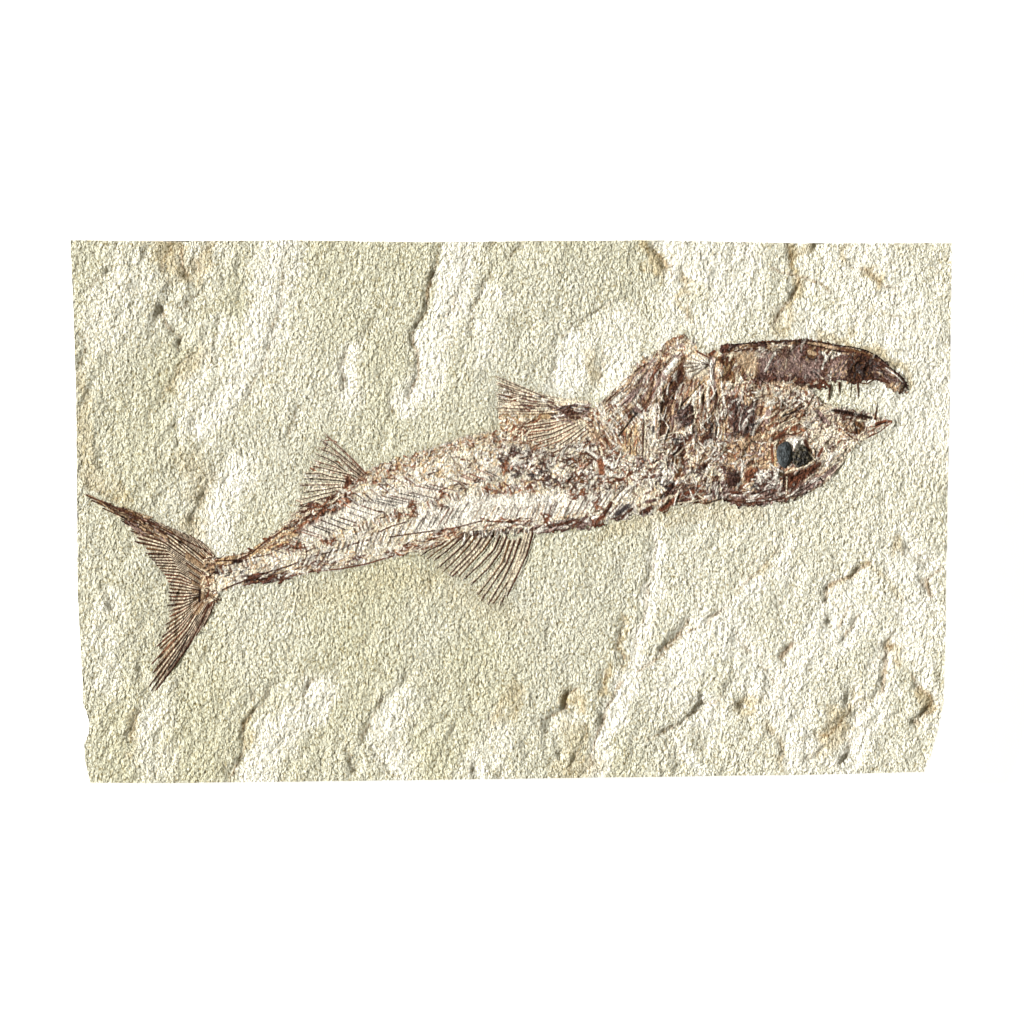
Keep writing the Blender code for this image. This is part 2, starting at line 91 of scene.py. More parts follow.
# Each ledge: depth, width of its steep left side and of its gentle right side in millimetres, and its line.
LEDGES = marks(
    # towards the tail, along the upper edge
    "1 1 5 166,236 172,248 165,256 162,272", "1.1 1.2 6 176,236 179,244 184,258 188,282",
    "0.7 0.6 5 205,236 206,250 198,262 197,278", "0.7 0.6 5 208,276 206,288 193,298 187,303 179,317",
    "0.5 0.5 3 108,266 102,273 92,285 80,297", "0.3 0.4 2 119,286 117,294", "0.3 0.4 2 143,285 137,297",
    "0.9 0.7 6 159,300 164,315 170,327 177,337 178,352", "0.4 0.5 3 153,320 158,332",
    "0.6 0.5 5 223,315 217,330 212,346", "0.4 0.4 3 193,343 192,353 197,362",
    "0.6 0.6 6 191,356 180,372 172,385 159,400 150,412 152,432", "0.7 0.7 4 91,333 84,350 78,368 79,382",
    "0.7 1 12 292,244 283,290 277,320 262,370 246,400 226,428", "0.3 0.5 6 240,240 238,290 226,340",
    # over the belly
    "0.6 0.5 3 301,402 293,420 288,442", "0.8 0.6 4 352,338 342,365 345,385 337,397",
    "0.5 0.5 3 380,316 365,330 356,342",
    "1.1 0.8 8 442,238 437,258 434,278 428,295 427,310 418,322 414,335 416,350 417,362 420,375 414,388 "
    "404,402 401,412", "0.5 0.5 3 407,326 414,342", "0.4 0.5 3 406,353 414,368",
    "0.6 0.8 8 470,240 463,270 455,300 440,340", "0.5 0.5 4 493,238 489,254",
    "0.7 0.5 5 499,258 490,275 483,290 480,300 471,312 473,325 469,347",
    "0.6 0.5 4 523,238 515,250 507,264", "0.4 0.5 3 546,238 537,250",
    "0.5 0.6 5 511,308 516,320 524,325 522,335 516,352",
    "0.5 0.3 7 641,281 635,292 615,302 600,310 585,318 575,322 565,335 550,348 540,358 533,370 532,387",
    "0.6 0.8 4 384,376 390,388 392,400 393,420", "0.4 0.4 3 387,360 375,379",
    "0.25 0.3 2 436,391 448,398 460,405 472,414", "0.5 0.5 3 383,426 386,438 380,446 370,451",
    "0.7 1.2 9 600,340 603,358 598,385 590,398", "0.5 0.5 9 560,350 552,372 556,392",
    # over the jaws
    "1 0.9 6 655,236 656,250 664,262 669,277", "0.7 0.6 8 682,262 683,280 690,295",
    "0.9 0.8 5 787,240 793,258 795,272", "0.6 0.6 4 801,246 796,264", "0.5 0.5 5 823,240 809,252",
    "0.3 0.3 3 766,267 780,272 795,277 810,280 822,282 831,292",
    "0.6 0.7 5 801,276 798,290 790,300 782,308 777,322", "0.5 0.5 5 849,240 837,260",
    "0.35 0.3 3 848,261 865,268 875,275 882,283 895,297 911,312", "0.3 0.8 4 872,308 868,324",
    "0.3 0.8 4 915,312 914,330", "0.3 0.8 4 930,348 929,364", "0.3 0.6 4 720,262 712,300 700,326",
    # beside the tail
    "0.5 0.5 4 94,438 100,455 100,472", "0.7 0.7 4 88,472 94,488 108,496 124,502",
    "0.5 0.5 3 174,433 179,449", "0.4 0.4 3 154,446 164,462", "0.4 0.4 3 184,456 198,461",
    "0.7 0.8 8 209,457 217,470 213,480 205,490 198,505 192,520 195,530 204,542",
    "0.4 0.4 2 245,513 244,532", "0.3 0.4 2 270,483 270,497", "0.3 0.4 2 265,503 261,514",
    "0.5 0.5 3 99,580 108,599", "0.4 0.4 2 116,578 107,592", "0.5 0.4 3 100,598 108,608 121,616",
    "0.3 0.4 2 89,583 80,593", "0.3 0.4 2 149,634 147,644", "0.5 0.6 3 140,668 143,680 146,692",
    # along the lower edge
    "0.9 0.9 5 140,703 141,715 135,720 133,730 130,740 132,754", "0.4 0.4 3 116,718 104,734",
    "1.1 1 9 269,693 265,705 255,712 248,722 240,732 243,745 240,760 231,777 230,790",
    "0.6 0.6 5 256,680 252,702", "0.6 0.6 6 271,680 268,702", "0.6 0.5 4 219,748 225,770 229,786",
    "0.5 0.5 4 341,653 330,670", "0.6 0.5 4 319,673 308,688 302,699", "0.25 0.3 2 278,741 297,749",
    "0.25 0.3 2 298,582 309,598", "0.9 0.7 6 388,693 378,710 372,722 363,735 359,744",
    "0.7 0.5 4 343,746 352,755 350,765 359,780", "0.6 0.5 4 366,743 380,755 388,768 396,782",
    "0.5 0.5 3 384,653 379,675", "0.5 0.4 3 376,626 365,645 359,653", "0.4 0.4 3 435,573 431,585 435,599",
    "0.25 0.3 2 398,593 412,608 421,622 431,634", "0.6 0.5 5 553,618 546,632 547,642",
    "1 0.8 6 625,612 620,630 620,645 624,655 620,672", "0.9 1.4 5 608,666 605,680 608,694",
    "1.1 0.8 6 584,690 575,688 568,697 568,710 560,712 545,718 536,724", "0.5 0.5 3 581,706 569,715",
    "0.5 0.5 4 545,723 544,747", "0.5 0.5 4 554,733 558,757", "0.7 0.6 5 581,713 586,737 576,756 566,782",
    "0.6 0.5 4 458,753 470,765 480,782", "0.6 0.5 4 486,763 495,772 502,784", "0.6 0.5 4 456,725 444,742",
    "0.6 0.5 4 434,723 419,737", "0.4 0.8 3 516,688 514,702", "0.4 0.8 3 503,698 501,717",
    "0.8 1.4 3 654,514 656,545 653,577 646,610 640,636 628,676",
    "1.1 1.2 6 628,670 612,700 600,730 586,780", "0.8 1.6 4.5 724,612 743,640 763,668 788,695 812,720",
    "0.7 1.5 3 903,532 915,552 945,572", "0.7 1.4 4 884,640 872,672", "0.7 1.6 5 868,700 850,735 842,765",
    "0.6 1.6 5 706,700 700,730 706,760", "0.6 1.5 4 762,545 745,575 728,600",
    "0.5 1.5 4 800,560 790,590 775,610", "0.6 1.5 4 905,600 900,640 912,670", "0.5 0.5 4 649,656 639,670",
    # under the head, towards the broken corner
    "1.2 1 6 694,616 680,632 670,640 665,650 656,660", "0.6 0.5 4 723,610 710,617 705,624",
    "0.4 0.6 3 704,642 702,658", "0.7 0.7 5 777,555 763,565 755,573 747,582",
    "0.4 0.3 3 802,518 788,530 778,537", "0.3 0.3 3 701,518 690,533 682,539",
    "0.8 0.6 5 869,561 858,572 850,578 838,580 828,586 823,592 828,600 821,609", "1 0.9 5 795,643 779,662",
    "0.8 0.8 4 868,608 852,628 838,645", "0.5 0.5 3 816,606 804,632", "0.5 0.5 3 827,610 830,625 836,639",
    "0.9 0.9 3 897,630 893,640 888,652 885,668 884,680 880,693", "0.5 0.5 3 899,653 891,670",
    "0.5 0.5 2 898,538 892,549", "0.5 0.5 3 899,551 906,559", "0.6 0.9 3 903,545 930,572",
    "0.9 0.7 3 918,578 931,594", "0.6 0.6 3 927,603 938,620", "0.5 0.5 3 884,563 893,579",
    "0.5 0.5 3 894,563 903,577", "1.1 0.9 5 903,668 915,680 925,692 932,698 928,712 915,722 919,737",
    "1 1.2 5 838,693 848,703 852,712 845,720 835,730 822,738 809,727", "0.7 0.8 4 844,738 852,755 839,767",
    "0.5 0.6 4 826,743 804,762", "0.6 0.6 4 881,688 868,705 859,717", "0.5 0.5 3 728,678 727,697",
    "0.5 0.5 3 702,688 705,705 703,717",
    "0.7 0.4 6 729,694 715,702 700,708 688,716 675,725 660,735 648,741",
    "0.6 1.4 4 757,700 748,706 740,714", "0.7 0.6 4 767,718 772,735 780,750 782,767",
    "0.4 0.5 4 668,736 665,748 676,762",
)


# White patches of the face, partly chalky rock and partly painted highlight on slopes that face the lamp:
# width in sheet units, strength, and the line they follow.
CHALK_AND_LIT_SLOPES = marks(
    "7 1.4 656,515 656,577 644,633 629,679", "15 1.3 636,660 620,700 608,730 593,778",
    "9 1.2 759,584 740,600 726,615", "9 1.1 726,610 736,633 749,658 761,673 777,689 795,704 812,722",
    "7 1 723,622 728,653 744,673", "5 1.3 863,610 848,628 838,640", "7 1.3 894,631 881,653 874,668",
    "8 1.2 902,531 912,556 940,571", "9 1.2 922,650 928,692", "13 1.2 889,694 874,719 853,745 846,768",
    "9 1 680,745 703,771", "10 1.1 705,702 711,722", "11 1.1 784,544 790,564 782,576",
    "11 1.4 670,240 675,272 683,300 681,322", "40 0.6 690,245 712,262 735,285",
    "9 1.3 881,244 889,272 905,296 936,322", "20 0.9 800,322 836,330", "34 0.9 282,236 270,290 262,330",
    "30 0.9 262,325 244,372 222,402 202,424", "26 0.8 462,240 452,300 432,350 426,376 408,404",
    "30 0.9 578,346 572,380 560,400", "24 0.8 678,246 674,290 668,330", "30 0.8 238,470 222,505 214,545",
    "40 0.5 128,262 110,300 104,330", "26 0.6 222,330 205,372 190,400", "30 0.8 322,690 292,726 258,776",
    "14 0.9 866,610 838,644", "12 0.8 894,630 876,668", "8 0.9 903,545 930,572",
    "34 0.5 740,250 725,300 700,330", "70 0.5 860,270 900,330 930,420", "34 0.6 405,700 388,735 400,775",
    "34 0.6 500,735 480,760 470,780", "30 0.6 700,625 690,660 676,690", "34 0.6 906,566 918,600 914,640",
    "28 0.5 840,590 828,630 800,660", "34 0.5 160,700 150,740 160,775", "26 0.5 110,600 100,640 108,680",
    "22 0.6 350,350 345,380 352,400", "26 0.5 500,300 490,330 486,350", "40 0.6 620,330 622,355 612,380",
    "28 0.5 757,690 790,720 800,755",
)
# Brown patches of the face, mostly painted shade beside the ledges and outside the jaw's upper edge, partly
# iron stain: width in sheet units, strength, and the line they follow.
BROWN_STAIN_AND_SHADE = marks(
    "13 1 646,240 652,254 657,270", "6 0.9 680,272 686,290 686,320", "9 1 790,245 797,260 798,274",
    "7 0.7 814,242 806,256", "7 0.8 846,243 841,258", "7 0.9 801,284 792,304 786,326",
    "9 0.7 775,330 790,318", "7 1 866,270 879,281", "6 0.6 852,326 852,336",
    "6 0.5 870,310 894,322 916,320", "6 0.5 903,242 905,254", "20 0.8 834,708 842,726 824,742",
    "9 0.9 744,704 752,710", "6 1 609,668 606,694", "11 0.9 570,698 582,706",
    "5 0.8 625,615 622,640 624,666", "8 0.8 894,540 896,556", "6 0.7 866,560 884,579 899,595",
    "6 0.8 772,730 776,746 782,772", "7 0.7 583,722 585,742", "20 0.5 572,730 570,770",
    "10 1 924,694 930,708", "14 0.55 608,528 640,523 668,519", "6 0.8 862,568 848,582 832,592",
    "7 0.7 770,560 756,576", "7 0.8 896,648 890,664", "22 0.8 158,240 170,250 178,268",
    "14 0.7 206,240 207,258 197,274", "14 0.6 82,376 83,410 86,442", "16 0.6 84,448 92,476 110,492 128,502",
    "24 0.5 190,462 204,480 200,500", "12 0.7 586,352 592,380", "16 0.5 778,318 796,320",
    "14 0.7 516,690 501,716", "22 0.6 560,770 590,766", "16 0.7 828,738 852,702", "12 0.6 740,710 757,700",
    "9 0.9 822,337 856,344 882,354 900,369 912,386", "20 0.5 640,522 700,512 750,512",
    "20 0.4 420,470 460,448 500,436", "26 0.35 300,600 420,575 520,620", "14 0.6 186,520 198,540 206,548",
    "12 0.6 200,352 188,372 172,388", "12 0.5 132,716 134,750", "12 0.6 250,712 242,745",
)

# Fine cracks and scratches of the face, cut in and darkened with painted shade: width in sheet units,
# strength, and the line they follow.
CRACKS = marks(
    "2.6 0.5 802,522 790,533 772,554", "2.6 0.7 784,547 761,567 749,580 739,590 723,610 710,621",
    "3.4 0.8 720,611 712,616 708,623", "3 0.85 698,627 684,634 672,643 662,656 636,672",
    "3.2 1 870,562 853,576 841,579 828,588 825,602", "4.4 1.2 793,644 781,658",
    "3.6 1 894,645 885,658 886,674 882,692", "2.6 0.7 728,696 703,709 688,717 667,732 646,741",
    "5 1 927,580 931,595", "3 0.9 943,567 930,577", "3.8 0.8 848,607 838,630",
    "3.8 0.8 940,704 925,717 917,727", "3 0.9 771,268 783,273 795,275 809,279 824,284 830,292",
    "3.2 0.9 795,275 800,284 791,298 781,311 773,326", "3 0.8 850,266 866,270 879,282 899,291",
    "2.8 0.8 671,255 672,276", "3.4 0.7 689,294 686,320", "2.6 0.5 803,290 808,302",
)

# The bones lie in shallow beds in the face. Each bed is drawn as lines across it, from one of its
# long sides to the other.
BEDS = {
    "tail_fin": [
        "221,552 216,564 214,576 216,590 222,601",
        "152,511 160,530 170,548 180,566 187,580 186,594 184,612 187,632 191,650",
        "80,491 104,512 122,528 136,544 150,560 164,574 169,584 166,598 164,618 159,638 150,660 146,680 "
        "146,702",
    ],
    "dorsal_fin": [
        "416,541 445,535 470,531 500,529 538,527",
        "412,560 430,572 446,582 462,592 474,604 492,612 513,612",
    ],
    "anal_fin": [
        "372,468 358,482 345,494 330,506 312,518 296,528 288,537",
        "323,429 316,439 311,450 306,462 300,472 298,486 294,500 288,513 276,525 264,539",
    ],
    "pectoral_fin": [
        "594,395 598,408 596,422 590,437",
        "492,371 490,390 490,405 492,420 502,437 520,447 540,457 553,457",
    ],
    "trunk": [
        "206,552 222,551 240,549 256,541 272,531 288,517 310,501 326,492 345,474 366,464 395,452 425,443 "
        "455,431 485,424 503,426 530,434 560,432 583,424 594,404 610,390 622,378 636,360 646,350 660,344",
        "206,602 224,597 242,590 262,587 290,583 312,578 342,575 366,570 396,561 420,555 442,551 470,545 "
        "500,541 533,539 562,534 588,532 602,529 616,522 634,520 660,515",
    ],
    "gill_cover": [
        "655,347 662,340 672,333 682,327 693,333 699,343 712,346 727,342",
        "655,515 668,515 680,509 698,504 706,509 716,505 727,504",
    ],
    "skull": [
        "722,344 736,360 750,372 770,377 792,379 806,383 812,391 822,401 832,405 840,409",
        "722,507 740,510 760,508 778,506 797,501 815,493 830,485 839,471 850,455",
    ],
    "upper_jaw": [
        "829,402 850,405 872,410 895,416",
        "840,462 858,449 872,441 884,434 897,426",
    ],
    "lower_jaw": [
        "715,341 740,339 765,336 790,335 806,334 832,339 855,344 872,349 886,358 900,371 912,384",
        "718,361 736,375 752,386 770,388 792,387 812,393 835,387 862,389 880,387 893,397 906,399",
    ],
}

# How far each bed swells over the face round it, in millimetres.
SWELLS = {"trunk": 0.25, "gill_cover": 0.4, "skull": 0.35, "upper_jaw": 0.3, "lower_jaw": 0.55}

# A finer drawing of the beds and the bones is kept in cells of a tenth of a millimetre.
CELL = 0.4  # in sheet units
DRAWING_CORNER = np.array([74.0, 322.0])
DRAWING = (980, 2120)  # cells down and across
DRAWING_HIGH, DRAWING_WIDE = DRAWING


def on_slab(points):
    """Points of the drawing sheet as x and y in metres."""
    return (traced(points) - SHEET_MIDDLE) * (SHEET, -SHEET)


def along(line, shares):
    """Points at these shares of a drawn line's length, in metres."""
    points = on_slab(line)
    reached = np.concatenate([[0], np.cumsum(np.hypot(*np.diff(points, axis=0).T))])
    return np.column_stack([np.interp(shares * reached[-1], reached, axis) for axis in points.T])


def roughness(x, y, pitch, octaves, seed):
    """Fractal noise of about -1 to 1 at each x and y, its largest lumps about pitch apart."""
    return np.array([
        noise.fractal(Vector((a / pitch, b / pitch, seed)), 1.0, 2.0, octaves) for a, b in zip(x, y)
    ])


def line_near(x, y, points):
    """For each x and y: the distance to a line, which side of it, and how far along it is nearest."""
    lengths = np.hypot(*np.diff(points, axis=0).T)
    nearest, side, share = np.inf, 1.0, 0.0
    passed = 0.0
    for start, end, length in zip(points, points[1:], lengths):
        way = (end - start) / length
        run = np.clip((x - start[0]) * way[0] + (y - start[1]) * way[1], 0, length)
        dx, dy = x - start[0] - run * way[0], y - start[1] - run * way[1]
        distance = np.hypot(dx, dy)
        closer = distance < nearest
        nearest = np.where(closer, distance, nearest)
        side = np.where(closer, way[0] * dy - way[1] * dx, side)
        share = np.where(closer, (passed + run) / lengths.sum(), share)
        passed += length
    return nearest, side, share


def within_reach(x, y, points, reach):
    """Which of the places lie in the box round a line, with this much to spare."""
    low, high = points.min(axis=0) - reach, points.max(axis=0) + reach
    return np.flatnonzero((x > low[0]) & (x < high[0]) & (y > low[1]) & (y < high[1]))


def chips(count, seed):
    """Small ledges that the chisel left all over the face, most of them near the tail and the long edges."""
    chance = np.random.default_rng(seed)
    made = []
    while len(made) < count:
        x, y = chance.uniform(80, 940), chance.uniform(246, 772)
        rough = 0.15 + 0.85 * (x < 260) + 0.6 * (y > 650) + 0.35 * (y < 330) + 0.3 * (x > 660)
        if chance.random() > rough:
            continue
        turn, half, bow = math.radians(chance.normal(62, 24)), chance.uniform(3, 11), chance.normal(0, 2.5)
        way = np.array([math.cos(turn), -math.sin(turn)])
        line = [way * -half, (bow, bow / 2), way * half] + np.array([x, y])
        made.append((chance.uniform(0.2, 0.6), chance.uniform(0.2, 0.45), chance.uniform(1, 3.5), line))
    return made


SMALL_CHIPS = 260
STEEP_REACH = 1.9  # a ledge's steep side, as a multiple of its width in the list
CHISELLED = 0.00062  # how deep a ledge of depth 1 cuts, and how rough the scarred face is, in metres
FOOT_LEFT, FOOT_RIGHT = 0.0013, 0.0006  # reach of the shaded foot of a ledge to either side, in metres


def ledges(x, y):
    """How far the ledges cut in at each place, in metres, and the painted shade and painted highlight they
    put on the rock.
    """
    cut, shade, painted_highlight = np.zeros((3, len(x)))
    for depth, steep, gentle, line in LEDGES + chips(SMALL_CHIPS, 17):
        points = on_slab(line)
        steep *= STEEP_REACH
        near = within_reach(x, y, points, max(steep, gentle) / 1000)
        distance, side, share = line_near(x[near], y[near], points)
        fallen = np.clip(1 - distance / np.where(side < 0, steep, gentle) * 1000, 0, 1)
        fade = np.clip(np.minimum(share, 1 - share) * 5 + 0.1, 0, 1)
        cut[near] += CHISELLED * depth * fade * np.where(side < 0, fallen**2 * (3 - 2 * fallen), fallen**1.5)
        foot = eased(1 - distance / np.where(side < 0, FOOT_LEFT, FOOT_RIGHT)) ** 2
        shade[near] = np.maximum(shade[near], depth * fade * foot)
        # painted highlight on the gentle side of each ledge, the slope that faces the lamp
        painted_highlight[near] = np.maximum(painted_highlight[near], (side > 0) * depth * fade * 4 * fallen * (1 - fallen))
    return cut, shade, painted_highlight


def patch_strength(x, y, patches):
    """How strongly a list of patches marks each x and y: the greatest strength that reaches it."""
    marked = np.zeros(len(x))
    for width, strength, line in patches:
        points = on_slab(line)
        reach = width * SHEET
        near = within_reach(x, y, points, reach)
        distance, _, _ = line_near(x[near], y[near], points)
        marked[near] = np.maximum(marked[near], strength * eased(1.2 * (1 - distance / reach)))
    return marked


def hackly(x, y):
    """How broken the face is, from 0.1 round the fish to 1 where the chisel left scars."""
    by_tail, low_down = eased((-0.06 - x) / 0.02), eased((-0.03 - y) / 0.02)
    high_up, by_head = eased((y - 0.04) / 0.02), eased((x - 0.035) / 0.02)
    broken = 0.9 * by_tail + 0.8 * low_down + 0.5 * high_up
    broken += 0.5 * by_head + 0.5 * roughness(x, y, 0.02, 2, 51.0)
    return np.clip(broken, 0.1, 1)


# How far the ledges, the white and brown patches and the cracks wander off their lines, in metres.
LEDGES_WANDER, PATCHES_WANDER, CRACKS_WANDER = 0.0011, 0.003, 0.0003
SWELL, PITS, CRACK = 0.00045, 0.00020, 0.00012  # the height of each kind of unevenness, in metres
MARKS = ("painted_shade", "chalk", "brown")  # what the rock carries for its material


def rock_face(x, y):
    """The height of the chipped face at each x and y, and how much painted shade, white and brown it
    carries.
    """
    wander_x = roughness(x, y, 0.005, 4, 11.0)
    wander_y = roughness(x, y, 0.005, 4, 23.0)

    def bent(reach):
        return x + reach * wander_x, y + reach * wander_y

    cut, shade, painted_highlight = ledges(*bent(LEDGES_WANDER))
    cut *= 1 + 0.45 * roughness(x, y, 0.003, 2, 31.0)
    swell = SWELL * roughness(x, y, 0.022, 3, 5.0)
    pits = PITS * roughness(x, y, 0.0045, 4, 7.0)
    scars = roughness(0.87 * x - 0.5 * y, 0.3 * x + 0.52 * y, 0.0045, 3, 41.0)
    hackle = hackly(x, y) * (0.25 - np.abs(scars))
    chalk, brown = (patch_strength(*bent(PATCHES_WANDER), patches) for patches in (CHALK_AND_LIT_SLOPES, BROWN_STAIN_AND_SHADE))
    # White from the chalky patches, plus painted light growing towards the right end and painted highlight
    # on the slopes that face the lamp.
    chalk = 1.3 * chalk + (0.55 * eased((x - 0.01) / 0.06) + 0.5 * painted_highlight)
    crack = patch_strength(*bent(CRACKS_WANDER), CRACKS)
    lifted = drawn(swells, x, y) / 1000
    height = BED + swell + pits + CHISELLED * (1 + 0.35 * chalk) * hackle - cut - CRACK * crack + lifted
    # The painted shade: darker colour at the foot of each ledge's steep side, which faces away from the
    # lamp, and along the cracks.
    return height, (0.65 * np.maximum(shade, crack), chalk, brown)


def filled(ring):
    """The drawing's cells inside a ring of the sheet's points, as a mask."""
    points = (traced(ring) - DRAWING_CORNER) / CELL
    x, y = np.arange(DRAWING_WIDE)[None, :], np.arange(DRAWING_HIGH)[:, None]
    inside = np.zeros(DRAWING, bool)
    for (x0, y0), (x1, y1) in zip(points, np.roll(points, -1, axis=0)):
        if y0 != y1:
            inside ^= ((y0 > y) != (y1 > y)) & (x < (x1 - x0) * (y - y0) / (y1 - y0) + x0)
    return inside


def bed_ring(lines):
    """The outline of a bed, from the lines that cross it."""
    first, *between, last = [traced(line) for line in lines]
    return [*first, *[line[-1] for line in between], *last[::-1], *[line[0] for line in between[::-1]]]


def blurred(values, reach):
    """A drawing averaged over squares that reach so many cells each way, twice."""
    for axis in (0, 1, 0, 1):
        rows = np.moveaxis(values, axis, 0)
        total = np.cumsum(np.pad(rows, ((reach + 1, reach), (0, 0))), axis=0)
        values = np.moveaxis((total[2 * reach + 1:] - total[:-2 * reach - 1]) / (2 * reach + 1), 0, axis)
    return values


def drawn(values, x, y):
    """A drawing's values at each x and y in metres, and 0 outside it."""
    across = ((x / SHEET + SHEET_MIDDLE[0]) - DRAWING_CORNER[0]) / CELL
    down = ((SHEET_MIDDLE[1] - y / SHEET) - DRAWING_CORNER[1]) / CELL
    inside = (across > 0) & (across < DRAWING_WIDE - 2) & (down > 0) & (down < DRAWING_HIGH - 2)
    across, down = np.where(inside, across, 0), np.where(inside, down, 0)
    i, j = across.astype(int), down.astype(int)
    f, g = across - i, down - j
    if values.ndim > 2:
        f, g, inside = f[:, None], g[:, None], inside[:, None]
    upper = values[j, i] * (1 - f) + values[j, i + 1] * f
    lower = values[j + 1, i] * (1 - f) + values[j + 1, i + 1] * f
    return inside * (upper * (1 - g) + lower * g)


def eased(share):
    """0 to 1 with a soft start and end."""
    share = np.clip(share, 0, 1)
    return share**2 * (3 - 2 * share)


def warped_sheet(u, v):
    """x and y of a unit sheet stretched to the slab's outline."""
    top, bottom = along(SLAB_TOP, u), along(SLAB_BOTTOM, u)
    left, right = along(SLAB_LEFT, 1 - v), along(SLAB_RIGHT, 1 - v)
    corners = on_slab([SLAB_BOTTOM[0], SLAB_BOTTOM[-1], SLAB_TOP[0], SLAB_TOP[-1]])
    u, v = u[:, None], v[:, None]
    edges = top * v + bottom * (1 - v) + left * (1 - u) + right * u
    low, high = corners[0] * (1 - u) + corners[1] * u, corners[2] * (1 - u) + corners[3] * u
    return edges - low * (1 - v) - high * v


def written(shape, values):
    """Writes one number to each vertex of a bmesh, for every name in values."""
    for name, numbers in values.items():
        layer = shape.verts.layers.float.new(name)
        for vert, number in zip(shape.verts, numbers):
            vert[layer] = number


def unit_grid(columns, rows):
    """A flat grid as a bmesh, and each of its points as shares of its width and height."""
    grid = bmesh.new()
    bmesh.ops.create_grid(grid, x_segments=columns, y_segments=rows, size=0.5)
    return grid, *np.array([(vert.co.x + 0.5, vert.co.y + 0.5) for vert in grid.verts]).T


def border(shape):
    """The edges round an open bmesh."""
    return [edge for edge in shape.edges if edge.is_boundary]


def drawn_out(shape, edges):
    """Draws edges out into new faces: gives the new edges and the new vertices."""
    made = bmesh.ops.extrude_edge_only(shape, edges=edges)["geom"]
    kinds = (bmesh.types.BMEdge, bmesh.types.BMVert)
    return [[item for item in made if isinstance(item, kind)] for kind in kinds]


def finished_mesh(shape, name, sharp=60):
    """An object made from a bmesh, smooth but for the edges sharper than this many degrees."""
    bmesh.ops.recalc_face_normals(shape, faces=shape.faces)
    mesh = bpy.data.meshes.new(name)
    shape.to_mesh(mesh)
    shape.free()
    mesh.shade_smooth()
    mesh.set_sharp_from_angle(angle=math.radians(sharp))
    piece = bpy.data.objects.new(name, mesh)
    bpy.context.scene.collection.objects.link(piece)
    return piece


beds, swells = np.zeros(DRAWING), np.zeros(DRAWING)
for name, lines in BEDS.items():
    inside = filled(bed_ring(lines))
    beds[inside] = 1
    swells[inside] = SWELLS.get(name, 0)
beds = blurred(beds, 5)
swells = blurred(swells, 12)

BED_DEPTH = 0.00035  # how far the rock drops under the bones
HALF_LENGTH, HALF_WIDTH = 0.110, 0.068
WALL_BITE = 0.00012  # how rough the side walls are
stone, u, v = unit_grid(COLUMNS, ROWS)
face_x, face_y = warped_sheet(u, v).T
face_z, carried = rock_face(face_x, face_y)
face_z -= BED_DEPTH * eased((drawn(beds, face_x, face_y) - 0.8) / 0.2)
written(stone, dict(zip(MARKS, carried)))
for vert, x, y, z in zip(stone.verts, face_x, face_y, face_z):
    vert.co = (x, y, z)
rim = border(stone)
for share in WALL_STEPS:
    rim, ring = drawn_out(stone, rim)
    for vert in ring:
        spot = Vector((vert.co.x, vert.co.y, share * BED))
        axis = 0 if abs(spot.x / HALF_LENGTH) > abs(spot.y / HALF_WIDTH) else 1
        spot[axis] -= math.copysign(WALL_BITE, spot[axis]) * noise.fractal(spot / 0.004, 1.0, 2.0, 3)
        vert.co = spot
bmesh.ops.contextual_create(stone, geom=rim)
slab = finished_mesh(stone, "slab_stone")


def srgb(red, green, blue):
    """A colour named as on a screen, 0 to 255, in the linear values that materials take."""
    return tuple(((value / 255 + 0.055) / 1.055) ** 2.4 for value in (red, green, blue))


